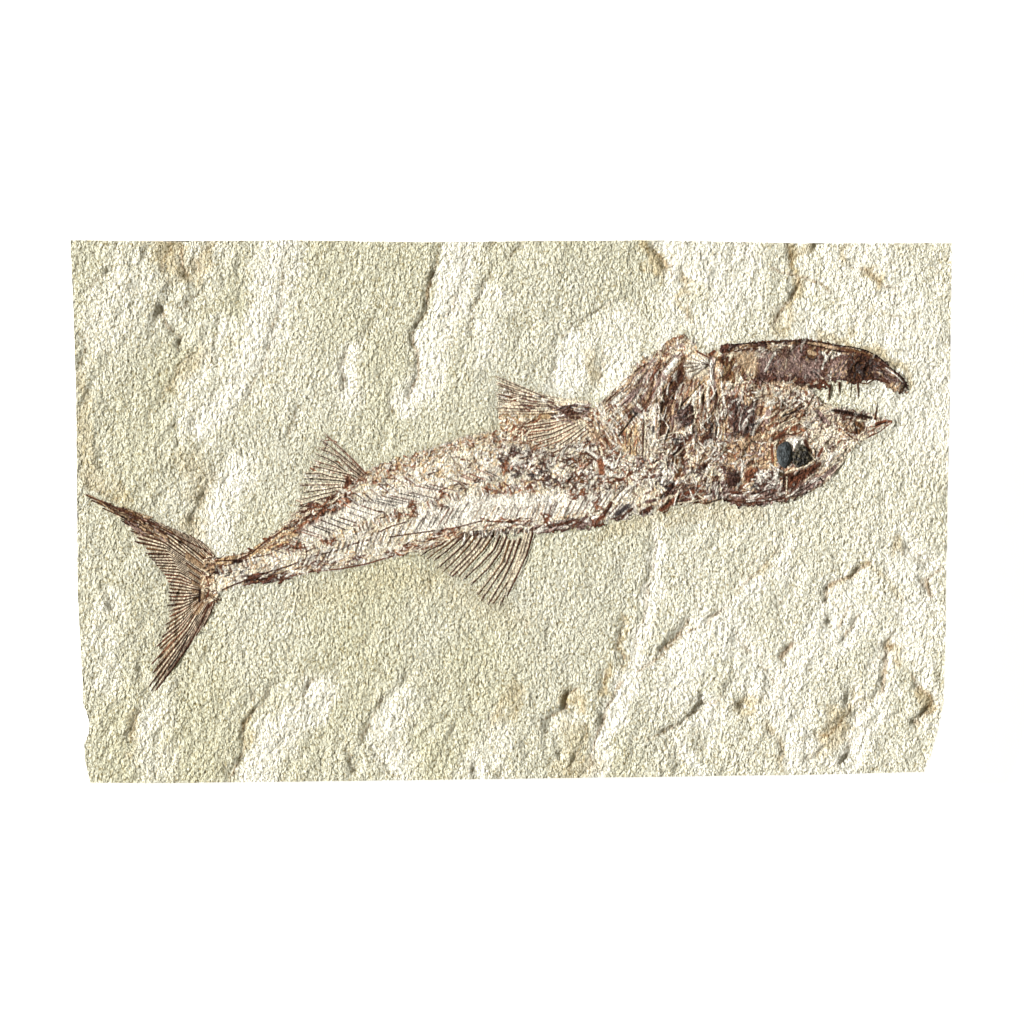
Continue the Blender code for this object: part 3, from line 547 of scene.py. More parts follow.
class Look:
    """A material with the few nodes that the stone and the bones need."""

    def __init__(self, name):
        self.material = bpy.data.materials.new(name)
        self.material.use_nodes = True
        self.nodes, self.links = self.material.node_tree.nodes, self.material.node_tree.links
        self.shader = self.nodes["Principled BSDF"]
        self.place = self.nodes.new("ShaderNodeMapping")
        self.place.inputs["Scale"].default_value = (1.3, 1.0, 1.0)
        coordinates = self.nodes.new("ShaderNodeTexCoord")
        self.links.new(coordinates.outputs["Object"], self.place.inputs["Vector"])

    def join(self, value, socket):
        """Links a socket to another, or sets it to a plain value."""
        if isinstance(value, bpy.types.NodeSocket):
            self.links.new(value, socket)
        else:
            socket.default_value = value

    def grain(self, scale, detail, rough=0.5):
        """Noise with this many lumps to a metre."""
        texture = self.nodes.new("ShaderNodeTexNoise")
        texture.inputs["Scale"].default_value = scale
        texture.inputs["Detail"].default_value = detail
        texture.inputs["Roughness"].default_value = rough
        self.links.new(self.place.outputs["Vector"], texture.inputs["Vector"])
        return texture.outputs["Fac"]

    def marked(self, name, output="Fac"):
        """What the mesh carries under this name."""
        attribute = self.nodes.new("ShaderNodeAttribute")
        attribute.attribute_name = name
        return attribute.outputs[output]

    def ramp(self, value, stops):
        """A colour ramp over the value, from (position, colour) stops."""
        node = self.nodes.new("ShaderNodeValToRGB")
        while len(node.color_ramp.elements) < len(stops):
            node.color_ramp.elements.new(0.5)
        for element, (position, colour) in zip(node.color_ramp.elements, stops):
            element.position = position
            element.color = (*colour, 1)
        self.links.new(value, node.inputs["Fac"])
        return node.outputs["Color"]

    def mixed(self, first, second, share, mode="MIX"):
        """Two colours mixed, each a socket or red, green and blue."""
        node = self.nodes.new("ShaderNodeMix")
        node.data_type = "RGBA"
        node.blend_type = mode
        self.join(share, node.inputs["Factor"])
        for colour, name in ((first, "A"), (second, "B")):
            self.join((*colour, 1) if isinstance(colour, tuple) else colour, node.inputs[name])
        return node.outputs["Result"]

    def sum(self, operation, first, second):
        """The result of ADD or MULTIPLY."""
        node = self.nodes.new("ShaderNodeMath")
        node.operation = operation
        self.join(first, node.inputs[0])
        self.join(second, node.inputs[1])
        return node.outputs["Value"]

    def between(self, value, low, high, to_low=0.0, to_high=1.0):
        """The value's place between two limits, kept inside them."""
        node = self.nodes.new("ShaderNodeMapRange")
        self.join(value, node.inputs["Value"])
        limits = {"From Min": low, "From Max": high, "To Min": to_low, "To Max": to_high}
        for name, number in limits.items():
            self.join(number, node.inputs[name])
        return node.outputs["Result"]

    def bump(self, height, distance):
        """Faces tilted as if the height, 0 to 1, stood up this far in metres."""
        node = self.nodes.new("ShaderNodeBump")
        node.inputs["Distance"].default_value = distance
        self.links.new(height, node.inputs["Height"])
        return node.outputs["Normal"]


DULL_CREAM, PALE_CREAM, CHALK_AND_HIGHLIGHT_WHITE = srgb(217, 214, 189), srgb(225, 223, 207), srgb(255, 253, 241)
STAIN_AND_SHADE_BROWN, PAINTED_SHADE_BROWN = srgb(196, 176, 132), srgb(150, 116, 72)
# Painted shade and highlight for the grains of the stone: warm dark sides, near-white crowns.
GRAIN_SHADE_AND_HIGHLIGHT = [(0.34, (0.52, 0.44, 0.28)), (0.5, (0.99, 0.98, 0.93)), (0.64, (1.18, 1.18, 1.18))]


def limestone_colour(look):
    """Cream limestone: cloudy, whiter with chalk and painted highlight, brown with stain and painted shade,
    each grain with painted shade and a painted highlight on its crown.
    """
    speckle = look.sum("MULTIPLY", look.grain(500, 4, 0.65), 0.8)
    chalk, brown = (look.sum("ADD", look.marked(name), speckle) for name in ("chalk", "brown"))
    painted_shade = look.sum("ADD", look.marked("painted_shade"), look.sum("MULTIPLY", look.grain(900, 3, 0.6), 1.1))
    colour = look.ramp(look.grain(26, 3), [(0.35, DULL_CREAM), (0.65, PALE_CREAM)])
    # white for chalk and for painted highlight
    colour = look.mixed(colour, CHALK_AND_HIGHLIGHT_WHITE, look.between(chalk, 0.5, 1.5, 0.0, 0.8))
    # brown for stain and for painted shade
    colour = look.mixed(colour, STAIN_AND_SHADE_BROWN, look.between(brown, 0.5, 1.5, 0.0, 0.8))
    # painted shade at the foot of the ledges and in the cracks
    colour = look.mixed(colour, PAINTED_SHADE_BROWN, look.between(painted_shade, 0.72, 1.25, 0.0, 0.7))
    # painted shade and highlight on each grain, weaker where the rock is white
    painted_grain_light = look.ramp(look.grain(1500, 3, 0.6), GRAIN_SHADE_AND_HIGHLIGHT)
    return look.mixed(colour, painted_grain_light, look.between(chalk, 0.8, 1.8, 1.0, 0.7), "MULTIPLY")


limestone = Look("limestone")
limestone.shader.inputs["Roughness"].default_value = 0.9
limestone.shader.inputs["Specular IOR Level"].default_value = 0.05
limestone.join(limestone_colour(limestone), limestone.shader.inputs["Base Color"])
limestone.join(limestone.bump(limestone.grain(900, 3, 0.62), 0.0026), limestone.shader.inputs["Normal"])
slab.data.materials.append(limestone.material)
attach(slab, "root")
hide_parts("slab")


# ---------------------------------------------------------------------------------------------
# The skull and cheek: crushed plates of bone, stained brown and plum by iron, split into strips
# and flakes with clean rock between them. They grew in the fish and lie pressed into the rock.
# ---------------------------------------------------------------------------------------------
INKS = {name: srgb(*levels) for name, levels in {
    "peat": (44, 26, 18), "umber": (84, 53, 39), "russet": (116, 70, 50), "rust": (156, 103, 74),
    "plum": (98, 72, 66), "mauve": (164, 140, 133), "slate": (72, 66, 66), "tan": (202, 174, 140),
    "ochre": (224, 193, 146), "cream": (246, 236, 210), "chalk": (255, 253, 242), "bronze": (110, 78, 50),
}.items()}
# A sheet of bone: how far its hidden sides reach down, how deep its rim is sunk in the rock, how
# far its face rises inside the rim, and how high its crumples stand, all in metres.
SKIRT, SHEET_SUNK, SHEET_RISE, CRUMPLE = 0.0018, 0.00012, 0.00016, 0.00016

paint = np.zeros((*DRAWING, 3))
bone = np.zeros(DRAWING)
relief = np.zeros(DRAWING)  # millimetres


def laid_on(window, ink, shown, height):
    """Covers part of the drawing with an ink, a height and bone, as far as each cell is shown."""
    paint[window] += (np.array(INKS[ink]) - paint[window]) * shown[..., None]
    bone[window] += (1 - bone[window]) * shown
    relief[window] += (height - relief[window]) * shown


def stroke(line, width, ink, lift=0.08, strength=1.0, taper=0.0):
    """Lays one bone, splinter or stain along a line of the sheet, as wide as given in sheet units."""
    points = (traced(line) - DRAWING_CORNER) / CELL
    half = width / CELL / 2
    low = np.maximum(np.floor(points.min(axis=0) - half - 1).astype(int), 0)
    high = np.minimum(np.ceil(points.max(axis=0) + half + 2).astype(int), (DRAWING_WIDE, DRAWING_HIGH))
    if (high <= low).any():
        return
    x, y = np.arange(low[0], high[0])[None, :], np.arange(low[1], high[1])[:, None]
    distance, _, share = line_near(x, y, points)
    crown = np.clip(1 - distance / (half * (1 - taper * share)), 0, 1)
    window = (slice(low[1], high[1]), slice(low[0], high[0]))
    laid_on(window, ink, strength * np.clip(2.5 * crown, 0, 1), lift * np.sqrt(crown))


def laid(*bones):
    """Lays bones one by one, each written as its colour, width, lift and line."""
    for text in bones:
        ink, width, lift, line = text.split(maxsplit=3)
        stroke(line, float(width), ink, float(lift))


def washed(ring, ink, strength, lift=0.02, soft=4):
    """Stains everything inside a ring of the sheet's points, with a soft edge."""
    laid_on(..., ink, strength * blurred(filled(ring).astype(float), soft), lift)


def heading(degrees):
    """The way along and the way aside on the sheet, for an angle in degrees, / being positive."""
    turn = math.radians(degrees)
    return np.array([math.cos(turn), -math.sin(turn)]), np.array([math.sin(turn), math.cos(turn)])


def strewn(ring, count, inks, angle, spread, length, width, lift, seed):
    """Strews splinters inside a ring, lying at about this angle in degrees."""
    chance = np.random.default_rng(seed)
    ring, inks = traced(ring), inks.split()
    inside = filled(ring)
    placed = 0
    while placed < count:
        centre = chance.uniform(ring.min(axis=0), ring.max(axis=0))
        i, j = ((centre - DRAWING_CORNER) / CELL).astype(int)
        if not inside[j, i]:
            continue
        way, aside = heading(chance.normal(angle, spread))
        half = 0.6 * length * chance.uniform(0.5, 1.5)
        line = [centre - way * half, centre + aside * (chance.normal(0, 0.15) * half), centre + way * half]
        ink = inks[chance.integers(len(inks))]
        wide, high = 1.3 * width * chance.uniform(0.6, 1.5), 1.7 * lift * chance.uniform(0.1, 1.6)
        stroke(line, wide, ink, high, chance.uniform(0.7, 1), 0.5)
        placed += 1


def sheet_of_bone(name, columns, rows, look, raised=0.0, crumpled=1.0):
    """The bones of one bed as a closed sheet let into the rock, its face shaped and coloured as drawn."""
    grid, u, v = unit_grid(columns, rows)
    lines = np.array([along(line, u) for line in BEDS[name]])
    level = v * (len(lines) - 1)
    band = np.minimum(level.astype(int), len(lines) - 2)
    step = (level - band)[:, None]
    count = np.arange(len(u))
    x, y = (lines[band, count] * (1 - step) + lines[band + 1, count] * step).T
    z, carried = rock_face(x, y)
    edge, cover = drawn(beds, x, y), drawn(bone, x, y)
    crest = crumpled * roughness(0.87 * x - 0.5 * y, 0.25 * x + 0.43 * y, 0.0012, 3, 13.0)
    bones = drawn(blurred(relief, 1), x, y)
    z += SHEET_RISE * eased((edge - 0.5) / 0.35) - SHEET_SUNK + (bones + raised) / 1000
    z += CRUMPLE * crest * cover
    written(grid, {**dict(zip(MARKS, carried)), "bone": cover, "crest": crest})
    stain = grid.verts.layers.float_color.new("stain")
    for vert, px, py, pz, colour in zip(grid.verts, x, y, z, drawn(paint, x, y)):
        vert.co = (px, py, pz)
        vert[stain] = (*colour, 1)
    rim, ring = drawn_out(grid, border(grid))
    for vert in ring:
        vert.co.z = BED - SKIRT
    bmesh.ops.contextual_create(grid, geom=rim)
    piece = finished_mesh(grid, name + "_bones")
    piece.data.materials.append(look.material)
    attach(piece, "root")
    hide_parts(name)
    return piece


GRIT_TONES = [(0.32, (0.4, 0.35, 0.33)), (0.48, (0.97, 0.95, 0.93)), (0.66, (1.6, 1.57, 1.52))]
BLOTCH_TONES = [(0.36, (0.78, 0.75, 0.73)), (0.5, (1.0, 0.99, 0.98)), (0.64, (1.16, 1.15, 1.13))]


def fossil_bone(name, gloss):
    """Bone with iron stain: gritty and flecked, with painted highlight on the crests of its crumples and
    painted shade in their troughs, matt where it has split away and left the rock.
    """
    look = Look(name)
    cover = look.sum("ADD", look.marked("bone"), look.between(look.grain(2300, 2), 0.3, 0.7, -0.25, 0.25))
    cover = look.between(cover, 0.35, 0.6)
    stain_and_painted_light = look.marked("stain", "Color")
    for texture, tones in ((look.grain(1700, 3, 0.65), GRIT_TONES), (look.grain(230, 3, 0.6), BLOTCH_TONES)):
        stain_and_painted_light = look.mixed(stain_and_painted_light, look.ramp(texture, tones), 1.0, "MULTIPLY")
    crest = look.sum("ADD", look.marked("crest"), look.between(look.grain(1200, 2), 0.3, 0.7, -0.35, 0.35))
    # Painted highlight on the crests of the crumples and painted shade in their troughs.
    stain_and_painted_light = look.mixed(stain_and_painted_light, srgb(255, 250, 234), look.between(crest, 0.3, 0.9, 0.0, 0.5))
    stain_and_painted_light = look.mixed(stain_and_painted_light, srgb(52, 29, 22), look.between(crest, -0.25, -0.9, 0.0, 0.6))
    look.join(look.mixed(limestone_colour(look), stain_and_painted_light, cover), look.shader.inputs["Base Color"])
    look.join(look.between(cover, 0, 1, 0.9, gloss), look.shader.inputs["Roughness"])
    look.shader.inputs["Specular IOR Level"].default_value = 0.08
    height = look.sum("ADD", look.grain(1250, 3, 0.6), look.sum("MULTIPLY", look.grain(2300, 3, 0.6), 0.5))
    look.join(look.bump(height, 0.0020), look.shader.inputs["Normal"])
    return look


SKULL_RING = (
    "722,360 736,364 750,374 770,380 792,382 806,386 812,394 822,404 832,408 838,414 844,430 852,444 "
    "845,452 840,460 833,474 824,484 812,491 797,497 778,501 760,503 745,505 724,499"
)
washed(SKULL_RING, "tan", 1.0)
strewn(
    SKULL_RING, 1500, "umber russet plum tan rust chalk cream umber peat mauve", 45, 50, 5.5, 1.5, 0.12, 1
)
strewn(
    "722,360 748,378 752,400 740,404 724,398", 130, "umber bronze plum chalk tan rust cream", 75, 25, 6,
    1.5, 0.14, 2,
)
washed("716,358 724,355 736,358 737,370 733,380 722,382", "bronze", 0.9, 0.1)
strewn(
    "717,357 736,357 736,378 722,382", 90, "bronze umber ochre bronze russet peat", 70, 25, 4, 1.5, 0.16, 3
)
strewn("723,382 734,381 736,393 725,394", 40, "cream rust tan chalk mauve", 30, 60, 3, 1.8, 0.16, 4)
laid("umber 8 0.02 744,372 751,385 758,398", "cream 5 0.2 746,373 752,384 758,397")
strewn("744,372 750,374 760,396 754,399", 30, "tan cream umber cream", -62, 10, 6, 1.3, 0.22, 5)
washed("728,400 740,396 752,402 753,424 744,434 730,426", "plum", 0.85, 0.06)
strewn(
    "728,398 742,395 753,402 754,424 744,436 729,428", 240, "slate umber plum peat mauve umber", 65, 30,
    4.5, 1.4, 0.12, 6,
)
laid(
    "chalk 1.7 0.2 737,413 738.5,418 736,424", "chalk 3 0.2 771,408 764,417 757,424 751,434",
    "mauve 7 0.14 768,412 767,422", "umber 2 0 754,436 759,427 764,421",
)
washed("764,382 808,388 834,408 812,410 785,408 760,402", "cream", 0.8, 0.06)
strewn(
    "768,384 808,388 828,406 812,412 785,410 764,404", 260, "cream chalk rust umber chalk tan", 50, 50, 5,
    1.3, 0.16, 7,
)
strewn(
    "772,412 803,406 806,424 804,438 788,442 770,444", 260, "rust russet umber bronze cream umber tan", 32,
    18, 8, 1.7, 0.18, 8,
)
laid(
    "peat 2.3 0.06 783,416 794,412 804,406", "bronze 3 0.1 772,412 781,406 790,403",
    "cream 1.5 0.22 770,434 779,425 794,418", "russet 3 0.2 773,440 784,431 800,426",
    "cream 1.6 0.24 787,432 791,426 799,422 804,426", "umber 2.4 0.1 778,437 788,434 795,436",
    "rust 2.2 0.2 792,430 801,429 806,433",
)
washed("806,410 832,411 844,430 850,444 838,462 824,466 814,446", "cream", 0.85, 0.06)
strewn(
    "804,408 832,411 844,430 850,444 838,462 822,466 812,446 804,432", 230,
    "chalk cream umber russet chalk mauve", 40, 50, 5, 1.4, 0.16, 9,
)
laid(
    "mauve 5 0.12 817,411 822,416 827,422", "plum 2.4 0.1 819,416 824,423", "russet 4 0.08 822,449 818,456",
    "peat 1.6 0 812,446 816,452 815,458",
    "cream 2.5 0.24 813.5,443.6 819,443.5 824,446 826.5,453 823,458 818,461.5",
    "cream 2 0.2 808,452 811,456 815,460",
)
washed("820,464 842,444 853,443 842,466 826,482", "cream", 0.9, 0.06)
strewn(
    "821,463 842,447 851,446 838,470 824,479", 90, "chalk cream cream chalk mauve tan", 40, 8, 10, 1.3,
    0.16, 10,
)
washed("786,438 804,437 803,447 797,449 792,450 788,444", "chalk", 1.0, 0.1)
laid(
    "rust 3.8 0.12 771.5,445 772.5,461", "ochre 2.6 0.12 775,450 775,466",
    "chalk 2 0.16 770,464 776,469 783,472", "cream 1.7 0.2 783,474 788,471 796,469 805,466.5 813,461",
)
washed("785,475 800,471 813,464 825,458 820,468 806,479 788,497", "umber", 1.0, 0.18)
strewn(
    "785,475 800,471 824,459 806,479 788,496", 70, "russet umber peat russet umber", 40, 10, 9, 1.4, 0.22,
    11,
)
washed("790,495 800,485 816,475 822,475 823,481 812,489 794,496", "mauve", 0.95, 0.2)
strewn(
    "790,495 803,484 820,475 822,482 810,490", 60, "mauve plum mauve chalk umber", 32, 8, 9, 1.2, 0.22, 12
)
laid(
    "cream 1.5 0.24 804,481 811,476 818,472", "umber 2 0.1 820,478 823,481",
    "peat 2.3 0 783.6,472 783.4,486 784.6,499", "cream 1.3 0.2 786.4,477 786,494",
    "peat 1.4 0.1 790,497 802,494.5 808,492",
)
washed("744,474 751,467 759,469 757,477 750,483 745,481", "rust", 1.0, 0.14)
strewn("744,474 752,467 759,470 756,478 748,483", 26, "russet umber rust russet", 60, 30, 5, 1.6, 0.2, 13)
strewn(
    "757,470 778,472 782,490 764,494 752,488", 230, "chalk mauve chalk umber plum chalk slate", 35, 50, 4.4,
    1.5, 0.14, 14,
)
laid(
    "mauve 6 0.14 768,491 775,497", "chalk 2.4 0.2 768,492 774,496", "chalk 3.4 0.2 742.5,463 741,477",
    "russet 4 0.16 767,385 769,392", "umber 3.6 0.1 763,403 760,415", "rust 2.6 0.14 805,387 806,395",
    "umber 5 0.1 805,441 808,449", "mauve 4.6 0.18 824,477 835,467", "chalk 5 0.16 829,457 836,453",
    "peat 5 0.04 734,404 735,418", "peat 4.4 0.04 751,406 752,428", "mauve 6 0.12 744,410 743,424",
)
washed("724,488 745,492 784,489 786,500 760,504 742,506 724,500", "plum", 0.7, 0.1)
strewn(
    "724,486 745,492 784,488 786,500 760,505 742,506 724,500", 120,
    "umber peat mauve russet mauve umber chalk", 14, 20, 6, 1.5, 0.14, 15,
)
strewn("726,469 739,471 741,484 728,486", 70, "peat plum slate umber", 40, 45, 5, 1.8, 0.14, 16)
laid("umber 2.2 0.1 724,499 745,503 762,502 780,499", "peat 1.6 0.02 750,494 760,493 771,489")
dark_bone = fossil_bone("dark_bone", 0.6)
washed("729,399 756,402 755,430 741,434 728,421", "plum", 0.7, 0.1)
strewn(
    "729,399 756,402 755,430 741,434 728,421", 110, "umber plum mauve umber slate chalk", 70, 40, 7, 1.6,
    0.16, 18,
)
strewn(
    "740,380 800,384 828,391 824,403 770,404 742,402", 150, "umber cream russet chalk tan umber", 50, 50, 7,
    1.4, 0.2, 16,
)
sheet_of_bone("skull", 250, 262, dark_bone, 0.04, 1.0)


# ---------------------------------------------------------------------------------------------
# The lower jaw: a long curved bone, thick and dark along its outer edge and broken along the
# inner one, with a few needle teeth left in it. The fish lies belly up, so it is on top.
# ---------------------------------------------------------------------------------------------
JAW_RING = (
    "720,347 740,344.5 765,341.5 790,340 806,339 832,344 855,349 872,354 884,362 896,373 907,385 905,392 "
    "896,391 888,386 876,378 862,380 850,383 838,379 826,382 810,386 802,384 790,378 770,382 755,384 "
    "742,374 724,358"
)
washed(JAW_RING, "plum", 1.0, 0.06)
strewn(
    JAW_RING, 1100, "umber plum plum peat mauve russet plum bronze umber tan", 40, 45, 4.5, 1.5, 0.14, 21
)
strewn(
    "728,348 790,344 790,353 748,359 730,358", 210, "cream tan umber peat chalk plum bronze", 10, 30, 4.5,
    1.5, 0.16, 22,
)
strewn("728,356 752,354 756,378 746,374", 90, "cream tan umber plum cream bronze", 50, 30, 5, 1.5, 0.16, 23)
washed("720,346 731,344.5 731,351.5 721,352", "umber", 1.0, 0.2)
strewn("720,346 731,345 731,351 721,352", 18, "peat russet umber plum", 30, 50, 4, 1.8, 0.24, 24)
strewn(
    "768,352 800,350 802,376 786,378 768,374", 190, "slate plum peat plum mauve umber", 62, 14, 5, 1.2,
    0.12, 25,
)
strewn("770,354 800,352 800,376 774,376", 60, "plum mauve mauve tan", -35, 12, 5, 1.1, 0.14, 26)
laid(
    "cream 2.4 0.22 755.5,357 754,365 753.5,374", "chalk 3 0.22 775,353 770,361 765,371",
    "slate 1.2 0.1 774,356 768,367", "cream 1.5 0.2 786.5,359 785,369", "tan 5.5 -0.04 809,352 814,354",
    "bronze 3 -0.02 808,356 813,357", "peat 2.2 0.06 805,355 811,360.5 817,358",
    "umber 2.2 0.12 805,349 806,356", "russet 1.8 0.12 817,350 818,357",
    "chalk 3.8 0.2 823,353 826,357 825,361", "chalk 2 0.2 824,361 822,369",
    "chalk 1.6 0.16 831,371 830,380",
)
strewn("824,349 840,352 840,358 828,356", 26, "chalk chalk cream umber", 20, 50, 2.6, 1.6, 0.2, 27)
for ring, ink, strength in (
    ("832,361 846,360 847,372 838,379 832,374", "mauve", 0.75),
    ("801,362 816,361 821,373 812,379 802,378", "mauve", 0.7),
    ("759,353 770,352 768,368 760,373", "mauve", 0.7), ("733,352 756,352 757,374 742,370", "tan", 0.7),
    ("776,356 800,352 800,372 778,376", "mauve", 0.4), ("802,379 818,378 816,386 804,387", "peat", 0.8),
    ("848,355 868,357 874,368 868,380 848,380", "peat", 0.6),
    ("885,372 900,380 902,391 892,391 884,384", "tan", 0.6),
    ("776,350 788,350 790,358 778,360", "umber", 0.7),
):
    washed(ring, ink, strength, 0.1)
strewn("832,362 847,361 846,376 834,378", 50, "mauve plum slate mauve tan", 60, 20, 4, 1.3, 0.14, 28)
strewn("802,370 818,366 822,376 806,384", 60, "mauve slate plum peat mauve", -50, 12, 4.5, 1.3, 0.14, 29)
strewn(
    "848,354 870,358 872,377 850,380", 190, "peat umber slate bronze umber peat", 50, 40, 4.4, 1.6, 0.14,
    30,
)
washed("870,367 880,367 886,376 876,378", "slate", 0.7, 0.14)
strewn(
    "876,364 892,372 902,384 892,386 878,376", 70, "umber slate peat tan mauve umber", -40, 16, 6, 1.6,
    0.16, 231,
)
strewn("790,380 830,378 826,388 804,388", 50, "umber russet cream plum umber", 40, 40, 4.5, 1.7, 0.12, 232)
strewn(
    "894,376 904,380 908,392 898,392 890,386", 50, "mauve plum peat chalk umber tan", 50, 45, 3.6, 1.5,
    0.18, 233,
)
laid(
    "peat 1.5 0.2 731,345 750,343.4 770,342.4 790,341.6 802,340.8", "umber 1.8 0.2 734,352 747,349 758,349",
    "umber 3.4 0.24 846,351 862,354 874,360 886,368", "umber 1.8 0.18 889,384 880,380 872,378.6 865,380",
    "tan 2.5 0.3 808,343.2 822,344.8 838,348.6", "bronze 2.2 0.3 838,348.4 852,350.2 866,354 877,360",
    "peat 1.5 0.1 800,342.5 810,344.8 822,347.6 837,351.4 848,352.4",
    "peat 1.5 0.3 802,340.8 818,341.8 837,345.6 851,347 866,350.8 878,357.4 888,366",
    "peat 1.5 0.24 888,367.4 897,373.6 904,380.4 908,390", "chalk 1.3 0.2 885,368 894,374.6 902,382",
    "tan 4.2 0.12 891,385 895,390", "bronze 1.6 0.16 860,383 867,384 872,380.6",
    "umber 2 0.16 846,380 854,384 860,382", "umber 2.2 0.14 802,387 811,386.4 821,383",
    "russet 3 0.16 826,384 830,388 829,394",
)
TEETH = marks(
    "2.8 857.5,381 858,396.5", "2.6 830,384 828.5,402", "2.6 839,382 839.6,395", "1.6 851,381 851,391",
    "1.4 866,381 867,389",
)


def add_teeth(piece, teeth):
    """Needle teeth, half sunk in the bedding plane, joined to the jaw that they grow from."""
    shape = bmesh.new()
    shape.from_mesh(piece.data)
    stain, cover = shape.verts.layers.float_color["stain"], shape.verts.layers.float["bone"]
    for width, line in teeth:
        start, end = (Vector((*spot, 0)) for spot in on_slab(line))
        heights = rock_face(np.array([start.x, end.x]), np.array([start.y, end.y]))[0]
        start.z, end.z = heights[0] + 0.0001, heights[1] + 0.00005
        turn = (end - start).to_track_quat("Z", "Y").to_matrix().to_4x4()
        made = bmesh.ops.create_cone(
            shape, cap_ends=True, segments=10, radius1=width * SHEET / 2, radius2=SHEET / 5,
            depth=(end - start).length, matrix=Matrix.Translation((start + end) / 2) @ turn,
        )
        for vert in made["verts"]:
            vert[stain] = (*INKS["umber"], 1)
            vert[cover] = 1
    shape.to_mesh(piece.data)
    shape.free()


lower_jaw = sheet_of_bone("lower_jaw", 380, 86, dark_bone, 0.06, 0.7)
add_teeth(lower_jaw, TEETH)


# ---------------------------------------------------------------------------------------------
# The upper jaw: a short beak with a straight dark bar along the gape, a fang near its end and a
# red-brown tip. Paler broken bone lies behind the bar.
# ---------------------------------------------------------------------------------------------
BEAK_RING = "830,407 846,409 873,415 890,421 880,428 872,434 860,441 846,452 838,440"
washed(BEAK_RING, "cream", 0.9)
strewn(BEAK_RING, 420, "cream tan umber rust chalk russet mauve cream", 35, 50, 4.4, 1.5, 0.14, 31)
strewn(
    "838,416 866,419 866,431 852,434 842,428", 110, "umber plum tan bronze cream umber", 30, 50, 4.5, 1.6,
    0.14, 32,
)
laid(
    "bronze 5.4 0.16 856,423 861,427 858,432", "peat 2.6 0.06 854,424 857,433",
    "cream 2 0.2 857,420.6 865,421", "chalk 6 0.12 867,424 873,422", "chalk 2.6 0.14 871,416 874,421",
    "umber 6.6 0.2 836,411.4 848,413.8 861,416", "peat 3.8 0.26 832,410 850,413.2 871,418",
    "mauve 1 0.28 834,408.4 846,410.6", "peat 1.4 0.2 841,405.6 842,411",
    "peat 1.6 0.2 846.6,407 847.4,412", "russet 4.2 0.22 876,423.8 884,421.6 890.6,421.8",
    "peat 1.8 0.26 876,425.4 886,422.4", "russet 1.3 0.14 889.6,423.8 880,431.4 866,438.4",
    "umber 2.4 0.14 846,433 852,438",
)
upper_jaw = sheet_of_bone("upper_jaw", 130, 110, dark_bone, 0.05, 0.8)
add_teeth(upper_jaw, marks("3 874.6,420 877,404.6"))


# ---------------------------------------------------------------------------------------------
# The eye: two lumps of dark mineral that filled the orbit, one slate blue and one olive black.
# ---------------------------------------------------------------------------------------------
EYE_TOP = 0.0155
EYE_LUMPS = [  # middle, outline, height in metres
    (
        "784,455.5",
        "791.2,455 791,447 789,443 786,441.5 782,443 778,446 776.4,453 777,460 779.5,466 785,469 789.6,464",
        0.0014,
    ),
    (
        "800,457",
        "812.5,458 808.5,453 806,447 801,444.5 796,448 792,451 791,458 791.6,464 795,468 801,467.5 "
        "807,464.5",
        0.0012,
    ),
]
lumps = bmesh.new()
tone_layer = lumps.verts.layers.float.new("olive")
for number, (middle, ring, height) in enumerate(EYE_LUMPS):
    made = bmesh.ops.create_uvsphere(lumps, u_segments=96, v_segments=48, radius=1)["verts"]
    (centre,), ring = on_slab(middle), on_slab(ring)
    angles, reaches = np.arctan2(*(ring - centre).T[::-1]), np.hypot(*(ring - centre).T)
    order = np.argsort(angles)
    for vert in made:
        rough = noise.fractal(vert.co * 3.0 + Vector((7 * number, 0, 0)), 1.0, 2.0, 4)
        chip = noise.fractal(vert.co * 8 + Vector((0, 5 * number, 0)), 1.0, 2.0, 3)
        turn = math.atan2(vert.co.y, vert.co.x)
        reach = np.interp(turn, angles[order], reaches[order], period=2 * math.pi)
        out = min(1.0, math.hypot(vert.co.x, vert.co.y)) ** 0.8
        swell = 1 + 0.05 * rough + (0.01 + 0.03 * number) * chip
        flat = math.copysign(abs(vert.co.z) ** 0.8, vert.co.z)
        way = Vector((vert.co.x, vert.co.y)).normalized() if out > 1e-6 else Vector((0, 0))
        vert.co.x, vert.co.y = (centre[k] + way[k] * out * reach * swell for k in (0, 1))
        crusted = 1 + (0.1 + 0.35 * number) * rough + 0.2 * number * chip
        vert.co.z = min(BED + 0.0001 + flat * height * crusted, EYE_TOP)
        vert[tone_layer] = number
eye = finished_mesh(lumps, "eye_lumps", 80)
black_mineral = Look("black_mineral")
mineral_grain = black_mineral.grain(900, 3, 0.6)
SLATE_TONES = [(0.3, srgb(18, 21, 22)), (0.5, srgb(38, 45, 47)), (0.72, srgb(70, 78, 80))]
OLIVE_TONES = [(0.3, srgb(12, 10, 8)), (0.5, srgb(38, 34, 25)), (0.7, srgb(98, 88, 62))]
slate_blue, olive_black = (black_mineral.ramp(mineral_grain, tones) for tones in (SLATE_TONES, OLIVE_TONES))
mineral_colour = black_mineral.mixed(slate_blue, olive_black, black_mineral.marked("olive"))
black_mineral.join(mineral_colour, black_mineral.shader.inputs["Base Color"])
black_mineral.shader.inputs["Roughness"].default_value = 0.55
mineral_bump = black_mineral.bump(black_mineral.grain(1500, 3, 0.6), 0.0006)
black_mineral.join(mineral_bump, black_mineral.shader.inputs["Normal"])
eye.data.materials.append(black_mineral.material)
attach(eye, "root")
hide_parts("eye")


